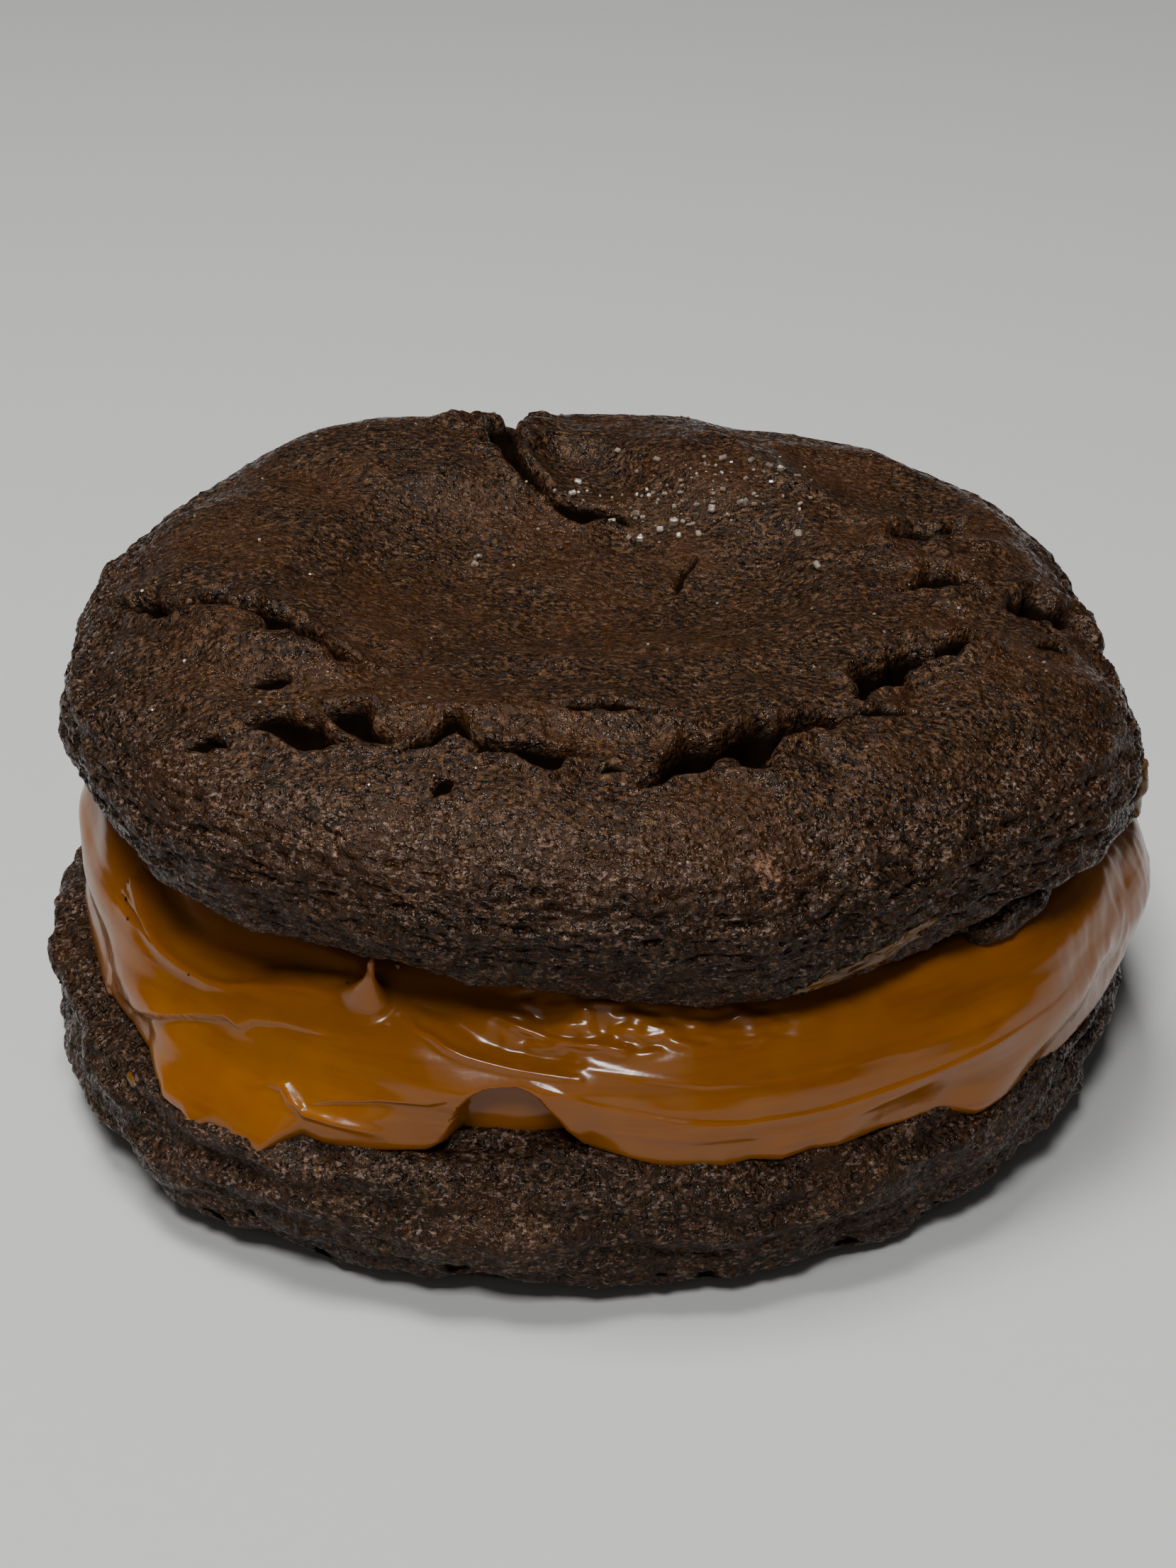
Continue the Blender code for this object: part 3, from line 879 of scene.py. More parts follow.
    def build(self) -> BVHTree:
        """Builds the cookie.

        Returns:
            A search tree over its surface.
        """
        face_end, side_at, under_at = self.slab.falls
        skin = fine_ball("upper_cookie_crust", 6, 2)
        angle, fall = read_ball(skin, self.front)
        radius, height = self.slab.surface(angle, fall)
        x, y = radius * np.cos(angle), radius * np.sin(angle)
        on_top = ease((side_at - fall) / self.rim_blend)
        basin_x, basin_y, half_length, half_width, depth = self.basin
        bowl = 1 - ((x - basin_x) / half_length) ** 2 - ((y - basin_y) / half_width) ** 2
        height = height - depth * ease(bowl) * on_top
        places = np.stack([x, y, height], axis=1)
        skin.place(places)
        normals = skin.normals()
        stray_x, stray_y = all_of(self.stray_x, places), all_of(self.stray_y, places)
        ragged = np.clip(self.ragged.at(places), self.narrowest, self.widest)
        relief, hollow = np.zeros_like(x), np.zeros_like(x)
        for crack in self.cracks:
            lift, sunk = crack.relief(x + stray_x, y + stray_y, ragged)
            relief += lift * on_top
            hollow = np.maximum(hollow, sunk * on_top * min(crack.size, 1.0))
        for swell in self.swells:
            relief += swell.relief(x, y) * on_top
        girth = float(np.mean(self.slab.outline))
        flake = self.flake.wrapped(girth)
        lift, sunk = flake.relief(angle * girth + stray_x, height + stray_y)
        on_side = (fall > face_end) & (fall < under_at)
        relief += lift * on_side
        hollow = np.maximum(hollow, sunk * on_side)
        relief += all_of(self.mounds, places)
        relief *= ease((under_at - fall) / self.under_blend)
        relief += self.crumb(places, normals, angle, fall)
        points = places + normals * relief[:, None]
        points[:, 2] += self.slab.lean * points[:, 0]
        skin.place(points)
        # Painted shade: how deep each point lies in a crack or groove, for their dark bottoms.
        skin.mark("hollow", hollow)
        # Steep sides are marked coarse: more pale flecks and painted glints there, and painted shade.
        skin.mark("coarse", ease((0.985 - normals[:, 2]) / 0.16))
        tree = skin.tree()
        item = skin.finish(BakedCookie("baked_cookie_upper").make())
        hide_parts("top_cookie")
        return tree

    def crumb(self, places: np.ndarray, normals: np.ndarray, angle: np.ndarray,
              fall: np.ndarray) -> np.ndarray:
        """Fine relief: grains all over, with wrinkles and pits round the shoulder and side.

        Args:
            places: The smooth surface's points.
            normals: Its outward directions.
            angle: Each point's angle round the middle.
            fall: Each point's fall on the ball.

        Returns:
            How far each point is lifted.
        """
        steep = ease((0.97 - normals[:, 2]) / 0.3)
        girth = float(np.mean(self.slab.outline))
        along = (fall - self.slab.falls[0]) * self.side_scale
        wrapped = np.stack([girth * np.cos(angle), girth * np.sin(angle), along], axis=1)
        pits = self.pits.dents(wrapped, 0.24, 0.2)
        nicks = self.nicks.dents(wrapped, 0.25, 0.2)
        rough = self.bulges.at(wrapped) - self.pit_depth * pits - self.nick_depth * nicks
        grained = self.flat_grain + (1 - self.flat_grain) * steep
        return steep * rough + all_of(self.grains, places) * grained


@dataclass
class LowerCookie:
    """The lower cookie: domed side down, with flaky layers up its side."""

    slab: Slab = BOTTOM_SLAB
    front: float = 0.25
    wall: Sizes = CARAMEL_WALL
    layers: tuple[Lumps, ...] = (Lumps((8.0, 8.0, 1.7), 1.2, 0.0), Lumps((3.5, 3.5, 2.5), 0.6, 30.0))
    layer_drop: float = 0.4
    clear_from: float = 0.75
    clear_over: float = 1.5
    low_blend: float = 20.0
    foot_blend: float = 2.0
    pits: Lumps = Lumps((1.7, 1.7, 1.0), 1.0, 37.0)
    pit_depth: float = 0.26
    wrinkles: Lumps = Lumps((4.2, 4.2, 1.1), 1.0, 9.0)
    wrinkle_height: float = 0.16
    grains: tuple[Lumps, ...] = (Lumps((0.8, 0.8, 0.8), 0.17, 13.0), Lumps((0.5, 0.5, 0.5), 0.14, 27.0))

    def build(self) -> BVHTree:
        """Builds the cookie.

        Returns:
            A search tree over its surface.
        """
        flat_end, ledge_end, _ = self.slab.falls
        skin = fine_ball("lower_cookie_crust", 6, 2)
        angle, fall = read_ball(skin, self.front)
        radius, height = self.slab.surface(angle, fall)
        x = self.slab.middle[0] + radius * np.cos(angle)
        y = self.slab.middle[1] + radius * np.sin(angle)
        places = np.stack([x, y, height], axis=1)
        skin.place(places)
        normals = skin.normals()
        layers = all_of(self.layers, places) - self.layer_drop
        clear = ease((radius - around(self.wall, angle) - self.clear_from) / self.clear_over)
        sunk = np.minimum(layers, 0) * (fall > flat_end)
        relief = np.where(fall > ledge_end, layers, sunk + (layers - sunk) * clear)
        low_side = ease((fall - ledge_end) / self.low_blend)
        girth = float(np.mean(self.slab.outline))
        wrapped = np.stack([girth * np.cos(angle), girth * np.sin(angle), height], axis=1)
        folds = np.clip(np.abs(self.wrinkles.at(wrapped)) / 0.35, 0, 1) ** 0.6 - 0.7
        wrinkles = self.wrinkle_height * folds - self.pit_depth * self.pits.dents(wrapped, 0.22, 0.22)
        relief = relief + low_side * wrinkles + all_of(self.grains, places)
        points = places + normals * (relief * ease(height / self.foot_blend))[:, None]
        points[:, 2] = np.where(height < 0.3, height, np.maximum(points[:, 2], 0.2))
        skin.place(points)
        # Painted shade in the bottoms of the side's wrinkles and pits.
        skin.mark("hollow", ease((-wrinkles * low_side - 0.18) / 0.2))
        # Coarse all over: more pale flecks and painted glints, and the painted shade of the sides
        # everywhere.
        skin.mark("coarse", np.ones_like(height))
        tree = skin.tree()
        item = skin.finish(BakedCookie("baked_cookie_lower").make())
        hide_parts("bottom_cookie")
        return tree


@dataclass
class CaramelBand:
    """The caramel between the cookies, with its shelf, scraped wall, folds, spike and lifted edge."""

    wall: Sizes = CARAMEL_WALL
    crest: Sizes = (18.8, 18.4, 18.3, 18.5, 18.8, 19.0, 19.3, 19.6, 19.9, 20.4,
                    20.8, 20.4, 17.4, 15.2, 16.2, 17.1, 17.2, 18.3, 19.2, 19.2)
    contact: Sizes = (31.5, 31.0, 31.0, 31.0, 31.0, 31.0, 31.0, 31.0, 31.0, 31.0,
                      31.5, 31.5, 29.5, 26.5, 28.5, 31.0, 31.4, 31.5, 32.0, 32.0)
    foot: Sizes = (37.6, 36.4, 36.0, 36.0, 36.2, 36.0, 35.8, 35.6, 35.5, 35.5,
                   35.5, 36.2, 37.0, 40.6, 38.5, 36.3, 39.5, 38.0, 37.0, 37.4)
    drops: Sizes = (1.2, 0.6, 0.4, 0.4, 0.4, 0.4, 0.4, 0.4, 0.4, 0.4,
                    0.4, 0.6, 1.0, 2.6, 1.0, 0.6, 1.3, 1.5, 1.4, 1.6)
    squareness: Sizes = (3.2, 3.2, 3.2, 3.2, 3.2, 3.2, 3.2, 3.2, 3.2, 3.2,
                         3.2, 3.2, 3.2, 3.2, 3.0, 2.7, 2.6, 2.9, 3.2, 3.2)
    falls: tuple[float, float, float] = (20.0, 156.0, 168.0)
    girth: float = 36.5
    crowding: float = 0.5
    level_from: float = 36.0
    level_turn: float = 0.7
    flare: float = 2.4
    overlap: float = 0.4
    bond: float = 0.3
    tuck: float = 1.1
    reach_down: float = 0.6
    foot_edge: Points = ((-156.0, 36.6), (-151.1, 36.6), (-145.0, 36.9), (-140.4, 37.6), (-137.5, 38.6),
                         (-134.5, 39.5), (-131.5, 39.7), (-129.5, 40.3), (-127.5, 39.9), (-124.5, 40.2),
                         (-121.5, 40.1), (-119.9, 38.9), (-118.6, 38.1), (-116.3, 38.2), (-112.0, 37.8),
                         (-108.3, 37.1), (-105.5, 36.6), (-96.0, 36.0), (-90.9, 35.6), (-88.1, 36.3),
                         (-84.1, 36.8), (-78.3, 37.2), (-75.5, 37.0), (-72.6, 37.3), (-69.5, 37.0),
                         (-66.8, 37.2), (-61.8, 36.9), (-57.0, 37.0), (-50.0, 37.2))
    arch: Points = ((-106.6, 9.4), (-105.2, 10.2), (-104.0, 11.3), (-103.1, 12.9), (-102.2, 13.9),
                    (-101.0, 14.4), (-99.7, 14.6), (-97.9, 14.8), (-96.6, 14.6), (-95.6, 14.2),
                    (-95.0, 13.6), (-94.1, 12.9), (-93.0, 12.0), (-91.2, 11.1), (-88.5, 10.4),
                    (-85.0, 9.4))
    arch_depth: float = 2.2
    arch_edge: float = 0.8
    spike: tuple[float, float] = (-114.7, 19.4)
    spike_reach: float = 2.0
    spike_tip: tuple[float, float, float] = (-112.9, 35.2, 22.5)
    spike_lean: float = 1.7
    spike_power: float = 2.4
    spike_thinning: float = 0.82
    waves: Lumps = Lumps((7.0, 7.0, 3.0), 0.7, 0.0)
    shelf_ripples: tuple[Lumps, ...] = (Lumps((1.3, 0.7, 1.0), 0.2, 3.0), Lumps((2.6, 1.5, 1.0), 0.32, 8.0))
    upright_wrinkles: Lumps = Lumps((0.6, 2.6, 1.0), 0.09, 17.0)
    knife_marks: Lumps = Lumps((6.0, 0.9, 1.0), 0.03, 40.0)
    lines: tuple[Line, ...] = (
        Line(Kind.RIDGE, 0.45, 0.5, (
            (-158.0, 20.9), (-153.7, 20.4), (-149.4, 19.1), (-146.5, 18.2), (-143.0, 17.2),
            (-140.8, 16.8), (-138.1, 16.6), (-133.6, 16.6), (-130.8, 17.0), (-128.6, 17.7),
            (-122.3, 18.9), (-118.2, 19.5))),
        Line(Kind.GROOVE, 0.9, 1.7, (
            (-156.0, 22.6), (-148.0, 20.9), (-143.0, 19.6), (-138.0, 18.9), (-132.0, 19.2),
            (-126.0, 20.6), (-119.0, 21.4))),
        Line(Kind.GROOVE, 0.3, 0.3, (
            (-168.0, 18.2), (-163.2, 18.0), (-157.9, 17.7), (-152.6, 17.9), (-148.6, 17.6),
            (-145.5, 17.5), (-142.2, 16.9))),
        Line(Kind.STEP, 0.55, 2.2, (
            (-147.5, 11.0), (-142.6, 11.3), (-138.3, 12.2), (-133.1, 13.9), (-129.6, 14.8),
            (-128.0, 14.5), (-127.3, 14.8), (-126.3, 15.4), (-123.2, 16.0), (-117.0, 16.3))),
        Line(Kind.RIDGE, 0.4, 0.35, (
            (-124.6, 11.0), (-122.8, 11.6), (-120.9, 11.8), (-119.7, 11.1), (-118.2, 10.5),
            (-114.6, 10.4), (-110.5, 10.3))),
        Line(Kind.STEP, 0.3, 1.2, (
            (-118.6, 10.9), (-115.2, 11.8), (-111.1, 12.5), (-106.3, 12.9), (-104.0, 13.6))),
        Line(Kind.RIDGE, 0.4, 0.32, (
            (-110.6, 19.4), (-108.7, 18.2), (-106.9, 17.9), (-105.2, 17.3), (-103.3, 16.9),
            (-101.5, 16.7), (-98.6, 16.4), (-95.8, 16.2), (-92.0, 15.9))),
        Line(Kind.GROOVE, 0.35, 0.9, (
            (-109.5, 20.2), (-105.9, 19.8), (-102.0, 18.4), (-97.0, 17.7), (-92.0, 17.0))),
        Line(Kind.RIDGE, 0.35, 0.3, (
            (-100.9, 20.1), (-99.7, 19.9), (-97.7, 19.4), (-94.7, 18.8), (-91.8, 18.4), (-87.5, 18.0))),
        Line(Kind.RIDGE, 0.1, 0.3, (
            (-93.1, 17.0), (-86.4, 16.0), (-79.8, 15.1), (-73.1, 14.7), (-60.0, 14.6))),
        Line(Kind.STEP, 0.22, 1.0, (
            (-38.4, 12.9), (-50.1, 12.7), (-62.6, 12.1), (-70.1, 11.9), (-76.7, 12.0), (-83.2, 12.8),
            (-89.7, 14.0), (-95.7, 15.4))),
        Line(Kind.RIDGE, 0.12, 0.3, (
            (-87.0, 11.9), (-80.0, 11.2), (-73.5, 10.8), (-66.6, 11.0), (-57.0, 11.6))),
    )

    def section(self, angle: np.ndarray, fall: np.ndarray) -> tuple[np.ndarray, np.ndarray]:
        """Places a ball's points on the band's smooth surface.

        Args:
            angle: Angle of each point, in radians.
            fall: Fall of each point, in degrees.

        Returns:
            The radius and the height of each point.
        """
        face_end, side_at, under_at = self.falls
        wall, crest, contact = (around(sizes, angle) for sizes in (self.wall, self.crest, self.contact))
        under = TOP_SLAB.underside(angle, contact)
        ceiling = under + TOP_SLAB.lean * contact * np.cos(angle) + self.overlap
        foot_radius = self.foot_radius(angle)
        surface = BOTTOM_SLAB.crown(foot_radius * np.cos(angle), foot_radius * np.sin(angle))
        belly = np.maximum(surface, BOTTOM_SLAB.top - around(self.drops, angle)) + self.bond
        reach, rise = rounding((side_at - fall) / (side_at - face_end), around(self.squareness, angle))
        wall = wall + (foot_radius - wall) * (1 - rise) ** self.flare
        radius = contact + (wall - contact) * reach
        height = belly + (crest - belly) * rise + (ceiling - crest) * (1 - reach)
        part = np.clip((fall - side_at) / (under_at - side_at), 0, 1)
        below = fall > side_at
        radius = np.where(below, wall - self.bond * (1 - np.cos(part * np.pi / 2)), radius)
        height = np.where(below, belly - self.tuck * np.sin(part * np.pi / 2), height)
        radius = np.where(fall < face_end, contact * fall / face_end, radius)
        inward = np.sqrt(np.clip((180 - fall) / (180 - under_at), 0, 1))
        return np.where(fall > under_at, radius * inward, radius), height

    def foot_radius(self, angle: np.ndarray) -> np.ndarray:
        """Radius of the foot: its own uneven edge in front, and a smooth one elsewhere.

        Args:
            angle: Angle of each point, in radians.

        Returns:
            The radius at each point.
        """
        degrees = np.degrees(angle)
        turns, radii = zip(*self.foot_edge)
        front = ease((degrees - turns[0]) / 5) * ease((turns[-1] - degrees) / 5)
        smooth = around(self.foot, angle)
        return smooth + (np.interp(degrees, turns, radii) - smooth) * front

    def build(self) -> BVHTree:
        """Builds the band.

        Returns:
            A search tree over its surface.
        """
        face_end, side_at, _ = self.falls
        bm = bmesh.new()
        bmesh.ops.create_uvsphere(bm, u_segments=720, v_segments=132, radius=1.0)
        skin = Skin.of(bm, "milk_caramel_band")
        angle, fall = read_ball(skin)
        angle = angle - self.crowding * np.cos(angle)
        radius, height = self.section(angle, fall)
        degrees, arc = np.degrees(angle), angle * self.girth
        level = height - self.level_turn * (radius - self.level_from)
        shown = ease((fall - face_end - 6) / 14) * ease((side_at + 10 - fall) / 10)
        turns, levels = zip(*self.arch)
        under = ease((np.interp(degrees, turns, levels) - level) / self.arch_edge + 0.5)
        inside_arch = (degrees > turns[0]) & (degrees < turns[-1]) & (fall > face_end)
        radius = radius - self.arch_depth * under * inside_arch
        places = np.stack([radius * np.cos(angle), radius * np.sin(angle), height], axis=1)
        places = self.pull_spike(arc, level, places)
        skin.place(places)
        relief = np.zeros_like(radius)
        for line in self.lines:
            relief += line.wrapped(self.girth).relief(arc, level)[0]
        relief += self.ripples(places, arc, level, degrees)
        points = places + skin.normals() * (relief * shown)[:, None]
        skin.place(self.fit(points))
        tree = skin.tree()
        item = skin.finish(MilkCaramel("milk_caramel").make())
        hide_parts("caramel_filling")
        return tree

    def pull_spike(self, arc: np.ndarray, level: np.ndarray, places: np.ndarray) -> np.ndarray:
        """Draws the surface out into a thin spike that leans to the right.

        Args:
            arc: Each point's place round the wall.
            level: Each point's level.
            places: The points.

        Returns:
            The new points.
        """
        turn, at = self.spike
        off = arc - np.radians(turn) * self.girth
        away = np.hypot(np.where(off < 0, off / self.spike_lean, off), level - at)
        foot = places[np.argmin(away)]
        tip_turn, tip_radius, tip_height = self.spike_tip
        tip = np.array([np.cos(np.radians(tip_turn)), np.sin(np.radians(tip_turn)), 0.0]) * tip_radius
        tip[2] = tip_height
        pull = (np.clip(1 - away / self.spike_reach, 0, 1) ** self.spike_power)[:, None]
        return places + (tip - foot) * pull - (places - foot) * self.spike_thinning * pull

    def ripples(self, places: np.ndarray, arc: np.ndarray, level: np.ndarray,
                degrees: np.ndarray) -> np.ndarray:
        """Soft unevenness, a wrinkled shelf in front and fine upright wrinkles at the right.

        Args:
            places: The points.
            arc: Each point's place round the wall.
            level: Each point's level.
            degrees: Each point's angle.

        Returns:
            How far each point is lifted.
        """
        flat = np.stack([arc, level, np.zeros_like(arc)], axis=1)
        total = self.waves.at(places)
        front = ease((degrees + 103) / 6) * ease((-66 - degrees) / 10) * ease((level - 17.0) / 1.2)
        total += front * all_of(self.shelf_ripples, flat)
        right = ease((degrees + 46) / 22) * ease((2 - degrees) / 6)
        total += right * self.upright_wrinkles.at(flat)
        return total + self.knife_marks.at(flat)

    def fit(self, points: np.ndarray) -> np.ndarray:
        """Keeps the band between the cookies, reaching just into each.

        Args:
            points: The band's points.

        Returns:
            The points, held between the two surfaces.
        """
        radius, angle = np.hypot(points[:, 0], points[:, 1]), np.arctan2(points[:, 1], points[:, 0])
        ceiling = TOP_SLAB.underside(angle, radius) + TOP_SLAB.lean * points[:, 0] + self.overlap
        floor = BOTTOM_SLAB.crown(points[:, 0], points[:, 1]) - self.reach_down
        points[:, 2] = np.clip(points[:, 2], floor, np.maximum(ceiling, floor + self.bond))
        return points


@dataclass(frozen=True)
class Patch:
    """An oval patch on a side: its middle, half length, half width, turn and thickness.

    The middle is an angle in degrees and a height.
    """

    middle: tuple[float, float]
    half_length: float
    half_width: float
    turn: float
    thickness: float


@dataclass
class Drape:
    """Lays closed flat shapes on a surface that is already built."""

    tree: BVHTree
    girth: float = 38.0
    far: float = 80.0
    sink: float = 0.25

    def land(self, across: float, along: float, on_side: bool) -> tuple[Vector, Vector] | None:
        """Finds the surface.

        Args:
            across: x seen from above, or the place round the side in millimetres.
            along: y seen from above, or the height on the side.
            on_side: Whether it is looked for from the side.

        Returns:
            The place and the way out of the surface, or None where nothing is met.
        """
        out, over = Vector((0, 0, 1)), Vector((across, along, 0.0))
        if on_side:
            out = Vector((np.cos(across / self.girth), np.sin(across / self.girth), 0.0))
            over = Vector((0, 0, along))
        start = out * self.far + over
        place, _, _, _ = self.tree.ray_cast(start, -out)
        return None if place is None else (place, out)

    def lay(self, name: str, patches: tuple[Patch, ...], seed: float) -> Skin:
        """Lays patches on the surface.

        Args:
            name: Name of the mesh.
            patches: Their sizes.
            seed: A shift of their uneven outlines.

        Returns:
            One mesh with all of them.
        """
        whole = bmesh.new()
        for number, patch in enumerate(patches):
            made = bmesh.ops.create_icosphere(whole, subdivisions=4, radius=1.0)
            self.shape(made["verts"], patch, seed + 7.3 * number)
        bmesh.ops.recalc_face_normals(whole, faces=whole.faces[:])
        return Skin.of(whole, name)

    def shape(self, verts: list[bmesh.types.BMVert], patch: Patch, seed: float) -> None:
        """Turns a ball into one patch.

        Args:
            verts: The ball's points.
            patch: The patch's sizes.
            seed: A shift of its uneven outline.
        """
        across, along = float(np.radians(patch.middle[0])) * self.girth, patch.middle[1]
        turn = np.radians(patch.turn)
        for vert in verts:
            ball = vert.co.normalized()
            wobble = 1 + 0.5 * noise.noise(Vector((ball.x * 1.3 + seed, ball.y * 1.3, 0.0)))
            wobble += 0.2 * noise.noise(Vector((ball.x * 4.0 + seed, ball.y * 4.0, 3.0)))
            long, wide = ball.x * patch.half_length * wobble, ball.y * patch.half_width * wobble
            found = self.land(
                across + long * np.cos(turn) - wide * np.sin(turn),
                along + long * np.sin(turn) + wide * np.cos(turn),
                True,
            )
            lift = patch.thickness * ball.z**0.6 if ball.z > 0 else self.sink * ball.z
            if found is not None:
                vert.co = found[0] + found[1] * lift


@dataclass
class CaramelSmears:
    """Thin caramel wiped over the two cookies, and a fleck of paler dough."""

    upper: tuple[Patch, ...] = (
        Patch((-65.5, 21.4), 4.6, 0.8, 14.0, 0.1),
        Patch((-59.5, 22.5), 2.4, 0.6, 20.0, 0.1),
        Patch((-18.5, 22.6), 2.3, 1.3, 74.0, 0.5),
        Patch((-11.5, 20.4), 1.5, 1.1, 60.0, 0.5),
    )
    lower: tuple[Patch, ...] = (
        Patch((-130.8, 9.6), 0.85, 0.32, 4.0, 0.4),
        Patch((-139.6, 8.7), 0.6, 0.3, -8.0, 0.15),
        Patch((-134.2, 9.4), 0.5, 0.2, 0.0, 0.15),
    )
    fleck: tuple[Patch, ...] = (Patch((-73.9, 29.1), 0.8, 0.7, 0.0, 0.1),)

    def build(self, upper: BVHTree, lower: BVHTree) -> None:
        """Lays the smears, and a paler fleck of dough on the upper cookie's front.

        Args:
            upper: The upper cookie's surface.
            lower: The lower cookie's surface.
        """
        caramel = WipedCaramel("wiped_caramel").make()
        Drape(upper).lay("caramel_on_upper_cookie", self.upper, 3.0).finish(caramel)
        Drape(lower).lay("caramel_on_lower_cookie", self.lower, 5.0).finish(caramel)
        dough = BakedCookie("toasted_fleck", body=(0.13, 0.062, 0.034), light=(0.24, 0.14, 0.09))
        Drape(upper).lay("toasted_fleck", self.fleck, 9.0).finish(dough.make())


@dataclass
class SugarGrains:
    """Sugar grains on the upper cookie: large ones on its hump, and small ones strewn round."""

    large: Points = (
        (1.5, 21.7), (-1.4, 18.3), (4.3, 18.4), (4.8, 14.1), (5.9, 13.7), (2.7, 12.0), (3.2, 11.7),
        (8.9, 13.0), (10.2, 11.5), (12.3, 15.4), (13.1, 15.1), (11.1, 16.7), (9.1, 17.4), (11.1, 11.3),
        (14.3, 11.0), (8.1, 11.7), (-1.8, 14.1), (-3.5, 13.9), (-0.4, 11.9), (1.0, 11.7), (5.4, 10.7),
        (5.7, 9.1), (3.0, 9.3), (7.1, 9.1), (4.4, 10.1), (-8.3, 5.7), (-8.5, 4.8), (15.0, 2.8),
        (14.0, 7.6),
    )
    hump: tuple[float, float, float, float] = (6.5, 13.5, 5.0, 2.6)
    on_hump: int = 90
    strewn: int = 80
    strewn_reach: float = 34.0
    large_size: tuple[float, float] = (0.38, 0.7)
    hump_size: tuple[float, float] = (0.15, 0.36)
    strewn_size: tuple[float, float] = (0.12, 0.26)

    def build(self, upper: BVHTree) -> None:
        """Drops the grains.

        Args:
            upper: The upper cookie's surface.
        """
        rng = np.random.default_rng(SEED)
        middle_x, middle_y, spread_x, spread_y = self.hump
        drops = [(x, y, rng.uniform(*self.large_size)) for x, y in self.large]
        for _ in range(self.on_hump):
            place = rng.normal((middle_x, middle_y), (spread_x, spread_y))
            drops.append((*place, rng.uniform(*self.hump_size)))
        for _ in range(self.strewn):
            angle, reach = rng.uniform(0, 2 * np.pi), self.strewn_reach * np.sqrt(rng.uniform(0, 1))
            drops.append((reach * np.cos(angle), reach * np.sin(angle), rng.uniform(*self.strewn_size)))
        drape, whole = Drape(upper), bmesh.new()
        for x, y, size in drops:
            found = drape.land(x, y, False)
            if found is None:
                continue
            turn = Matrix.Rotation(rng.uniform(0, 3), 4, "X") @ Matrix.Rotation(rng.uniform(0, 3), 4, "Z")
            wide, thick = rng.uniform(0.6, 1.0), rng.uniform(0.5, 0.9)
            stretch = Matrix.Diagonal((size, size * wide, size * thick, 1.0))
            rest = Matrix.Translation(found[0] + Vector((0, 0, size * 0.2)))
            made = bmesh.ops.create_cube(whole, size=1.0, matrix=rest @ turn @ stretch)
            edges = {edge for vert in made["verts"] for edge in vert.link_edges}
            bmesh.ops.bevel(whole, geom=list(edges), offset=size * 0.16, segments=1, profile=0.5,
                            affect="EDGES", material=-1)
        Skin.of(whole, "sugar_grains").finish(SugarCrystal("sugar_grain").make(), smooth=False)


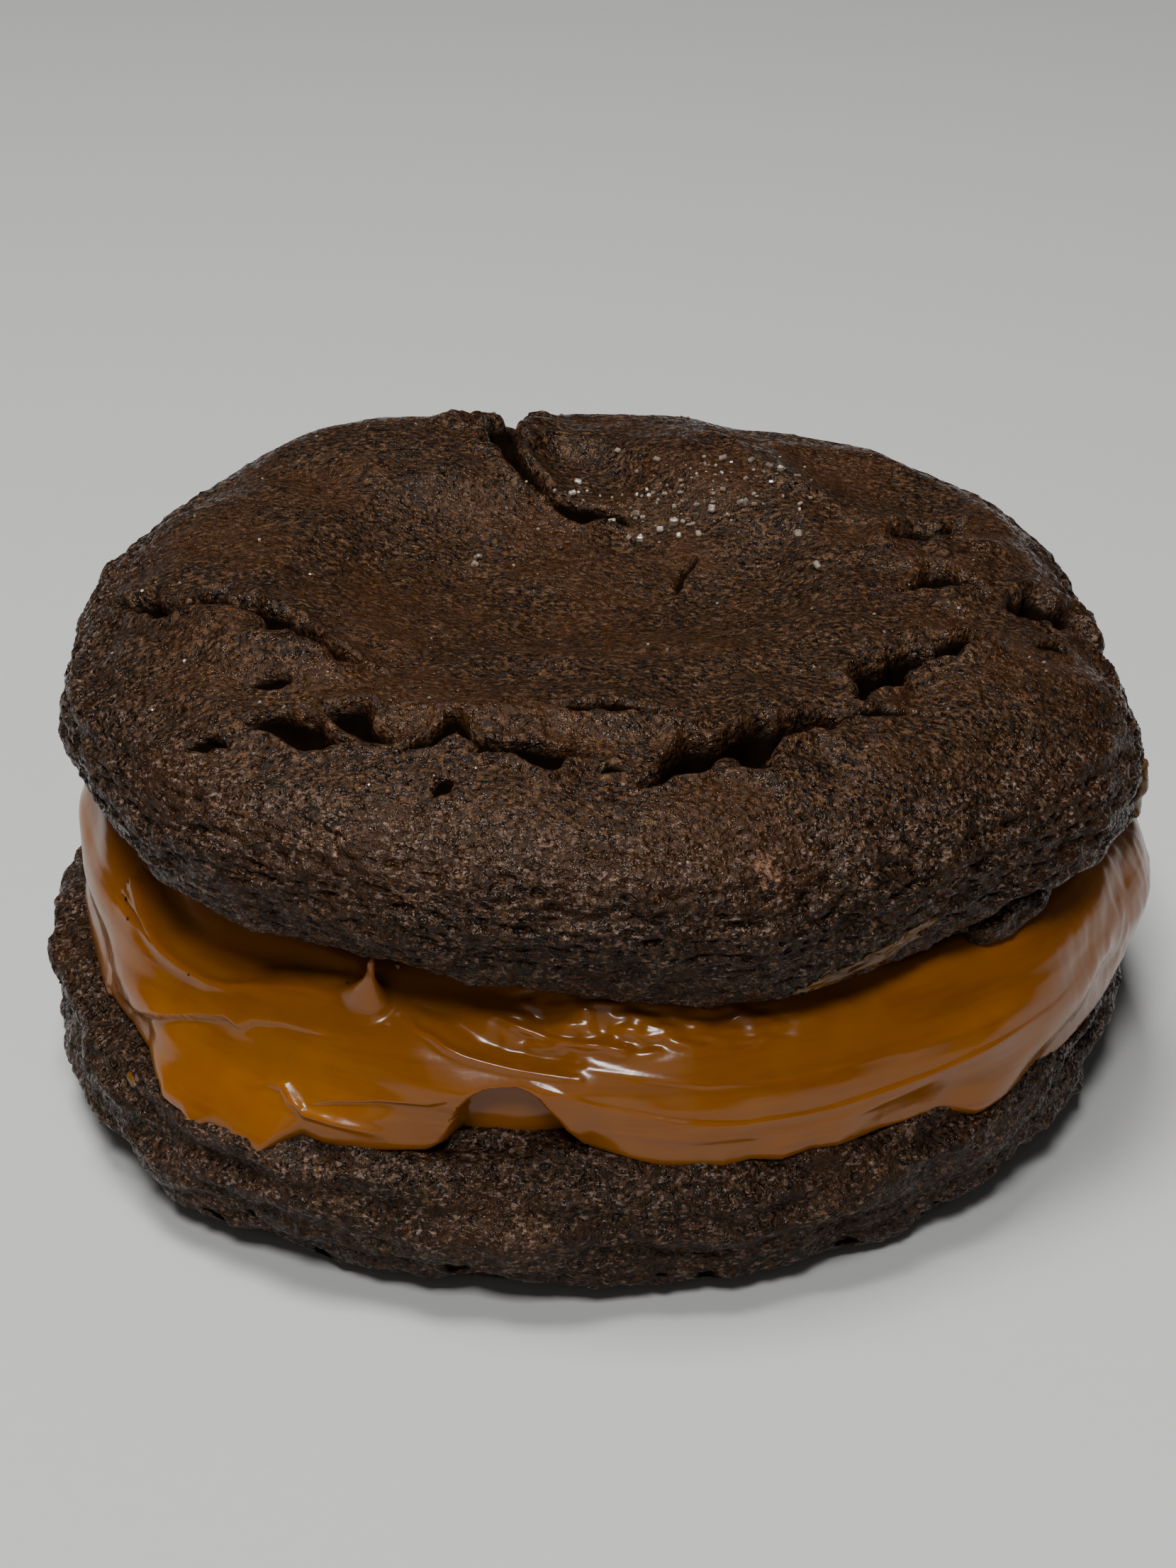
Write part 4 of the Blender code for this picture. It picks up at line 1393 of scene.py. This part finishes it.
@dataclass
class Crumbs:
    """Loose crumbs of cookie on the caramel and on the lower cookie's ledge."""

    on_caramel: tuple[tuple[float, float, float], ...] = (
        (-150.2, 17.6, 0.32), (-147.9, 17.0, 0.3), (-113.0, 20.6, 0.42), (-118.0, 18.4, 0.24),
        (-136.0, 16.4, 0.22),
    )
    on_ledge: int = 70
    ledge_height: tuple[float, float] = (6.5, 9.8)
    crumb_size: tuple[float, float] = (0.2, 0.5)
    flake: tuple[float, float, float] = (-41.5, 34.4, 20.3)
    flake_sizes: tuple[float, float, float] = (8.2, 3.4, 2.6)
    flake_lumps: tuple[Lumps, ...] = (Lumps((2.2, 2.2, 1.4), 0.5, 12.0), Lumps((0.6, 0.6, 0.5), 0.16, 19.0))

    def build(self, caramel: BVHTree, lower: BVHTree) -> None:
        """Makes the flake and drops the crumbs.

        Args:
            caramel: The caramel's surface.
            lower: The lower cookie's surface.
        """
        rng = np.random.default_rng(SEED + 1)
        whole = bmesh.new()
        self.break_flake()
        for turn, level, size in self.on_caramel:
            self.drop(whole, Drape(caramel), turn, level, size, rng)
        for _ in range(self.on_ledge):
            turn = rng.uniform(-180, 180)
            height = rng.uniform(*self.ledge_height)
            self.drop(whole, Drape(lower), turn, height, rng.uniform(*self.crumb_size), rng)
        Skin.of(whole, "loose_crumbs").finish(BakedCookie("loose_crumb").make())

    def break_flake(self) -> None:
        """Makes the broken flake that rests on the caramel under the upper cookie's edge."""
        turn, radius, height = self.flake
        angle = float(np.radians(turn))
        along, across, tall = self.flake_sizes
        bm = bmesh.new()
        bmesh.ops.create_icosphere(bm, subdivisions=5, radius=0.5)
        skin = Skin.of(bm, "broken_flake")
        ball = skin.points
        angular = np.sign(ball) * np.abs(ball * 2) ** 0.8 / 2
        places = angular * np.array([along, across, tall])
        places[:, 2] += 0.09 * places[:, 0]
        rough = all_of(self.flake_lumps, places)
        places = places * (1 + rough / np.linalg.norm(places, axis=1))[:, None]
        round_it = Matrix.Rotation(angle + np.pi / 2, 3, "Z")
        middle = np.array([radius * np.cos(angle), radius * np.sin(angle), height])
        skin.place(places @ np.array(round_it).T + middle)
        skin.mark("hollow", np.zeros(len(places)))
        # Coarse all over: more pale flecks and painted glints, and the painted shade of the sides
        # everywhere.
        skin.mark("coarse", np.ones(len(places)))
        skin.finish(BakedCookie("baked_flake").make())

    def drop(self, whole: bmesh.types.BMesh, drape: Drape, turn: float, height: float, size: float,
             rng: np.random.Generator) -> None:
        """Adds one crumb.

        Args:
            whole: The mesh of all the crumbs.
            drape: The surface that it lies on.
            turn: Its angle round the food, in degrees.
            height: Its height.
            size: Its length.
            rng: The seeded source of its shape.
        """
        found = drape.land(float(np.radians(turn)) * drape.girth, height, True)
        if found is None:
            return
        wide, thick = rng.uniform(0.6, 1.0), rng.uniform(0.5, 0.8)
        stretch = Matrix.Diagonal((size, size * wide, size * thick, 1.0))
        rest = Matrix.Translation(found[0]) @ Matrix.Rotation(rng.uniform(0, 6), 4, "Z") @ stretch
        made = bmesh.ops.create_icosphere(whole, subdivisions=2, radius=0.5, matrix=rest)
        for vert in made["verts"]:
            push = noise.noise(vert.co * 3.0 / size)
            vert.co += (vert.co - found[0]) * 0.5 * push


@dataclass(frozen=True)
class Softbox:
    """A square soft light: its name, place, size and power."""

    name: str
    place: tuple[float, float, float]
    size: float
    power: float


@dataclass
class Stage:
    """The floor, the soft lights and the camera."""

    softboxes: tuple[Softbox, ...] = (
        Softbox("overhead_softbox", (-90.0, 0.0, 610.0), 200.0, 4.2),
        Softbox("front_softbox", (-50.0, -350.0, 510.0), 130.0, 2.7),
        Softbox("low_fill", (-80.0, -640.0, 300.0), 500.0, 0.35),
    )
    lit_at: tuple[float, float, float] = (0.0, 0.0, 18.0)
    room_light: float = 0.05
    camera_at: tuple[float, float, float] = (-0.44, -193.11, 121.52)
    aim: tuple[float, float, float] = (-0.44, 0.23, 16.54)
    lens: float = 72.1
    sensor: float = 36.0
    floor_size: float = 3.0

    def build(self) -> None:
        """Makes the floor, the lights and the camera."""
        bm = bmesh.new()
        bmesh.ops.create_grid(bm, x_segments=4, y_segments=4, size=self.floor_size)
        mesh = bpy.data.meshes.new("pale_floor")
        bm.to_mesh(mesh)
        bm.free()
        mesh.materials.append(PaleFloor("pale_floor").make())
        floor = bpy.data.objects.new("pale_floor", mesh)
        bpy.context.scene.collection.objects.link(floor)
        for softbox in self.softboxes:
            self.hang(softbox)
        world = bpy.data.worlds.new("soft_room")
        bpy.context.scene.world = world
        world.use_nodes = True
        background = world.node_tree.nodes["Background"]
        background.inputs["Color"].default_value = (1.0, 1.0, 1.0, 1.0)
        background.inputs["Strength"].default_value = self.room_light
        self.camera()

    def hang(self, softbox: Softbox) -> None:
        """Hangs a soft light that faces the food.

        Args:
            softbox: The light.
        """
        lamp = bpy.data.lights.new(softbox.name, "AREA")
        lamp.size = softbox.size * MM
        lamp.energy = softbox.power
        item = bpy.data.objects.new(softbox.name, lamp)
        item.location = Vector(softbox.place) * MM
        away = Vector(self.lit_at) * MM - item.location
        item.rotation_euler = away.to_track_quat("-Z", "Y").to_euler()
        bpy.context.scene.collection.objects.link(item)

    def camera(self) -> None:
        """Sets the camera where the photo was taken from."""
        lens = bpy.data.cameras.new("camera")
        lens.sensor_width = self.sensor
        lens.lens = self.lens
        lens.clip_start = 0.01
        item = bpy.data.objects.new("camera", lens)
        item.location = Vector(self.camera_at) * MM
        away = Vector(self.aim) - Vector(self.camera_at)
        item.rotation_euler = away.to_track_quat("-Z", "Y").to_euler()
        bpy.context.scene.collection.objects.link(item)
        bpy.context.scene.camera = item


def main() -> None:
    """Builds the food and its stage."""
    logging.basicConfig(level=logging.INFO, format="%(name)s: %(message)s")
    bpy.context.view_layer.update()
    lower = LowerCookie().build()
    caramel = CaramelBand().build()
    upper = UpperCookie().build()
    CaramelSmears().build(upper, lower)
    SugarGrains().build(upper)
    Crumbs().build(caramel, lower)
    Stage().build()


if __name__ == "__main__":
    main()
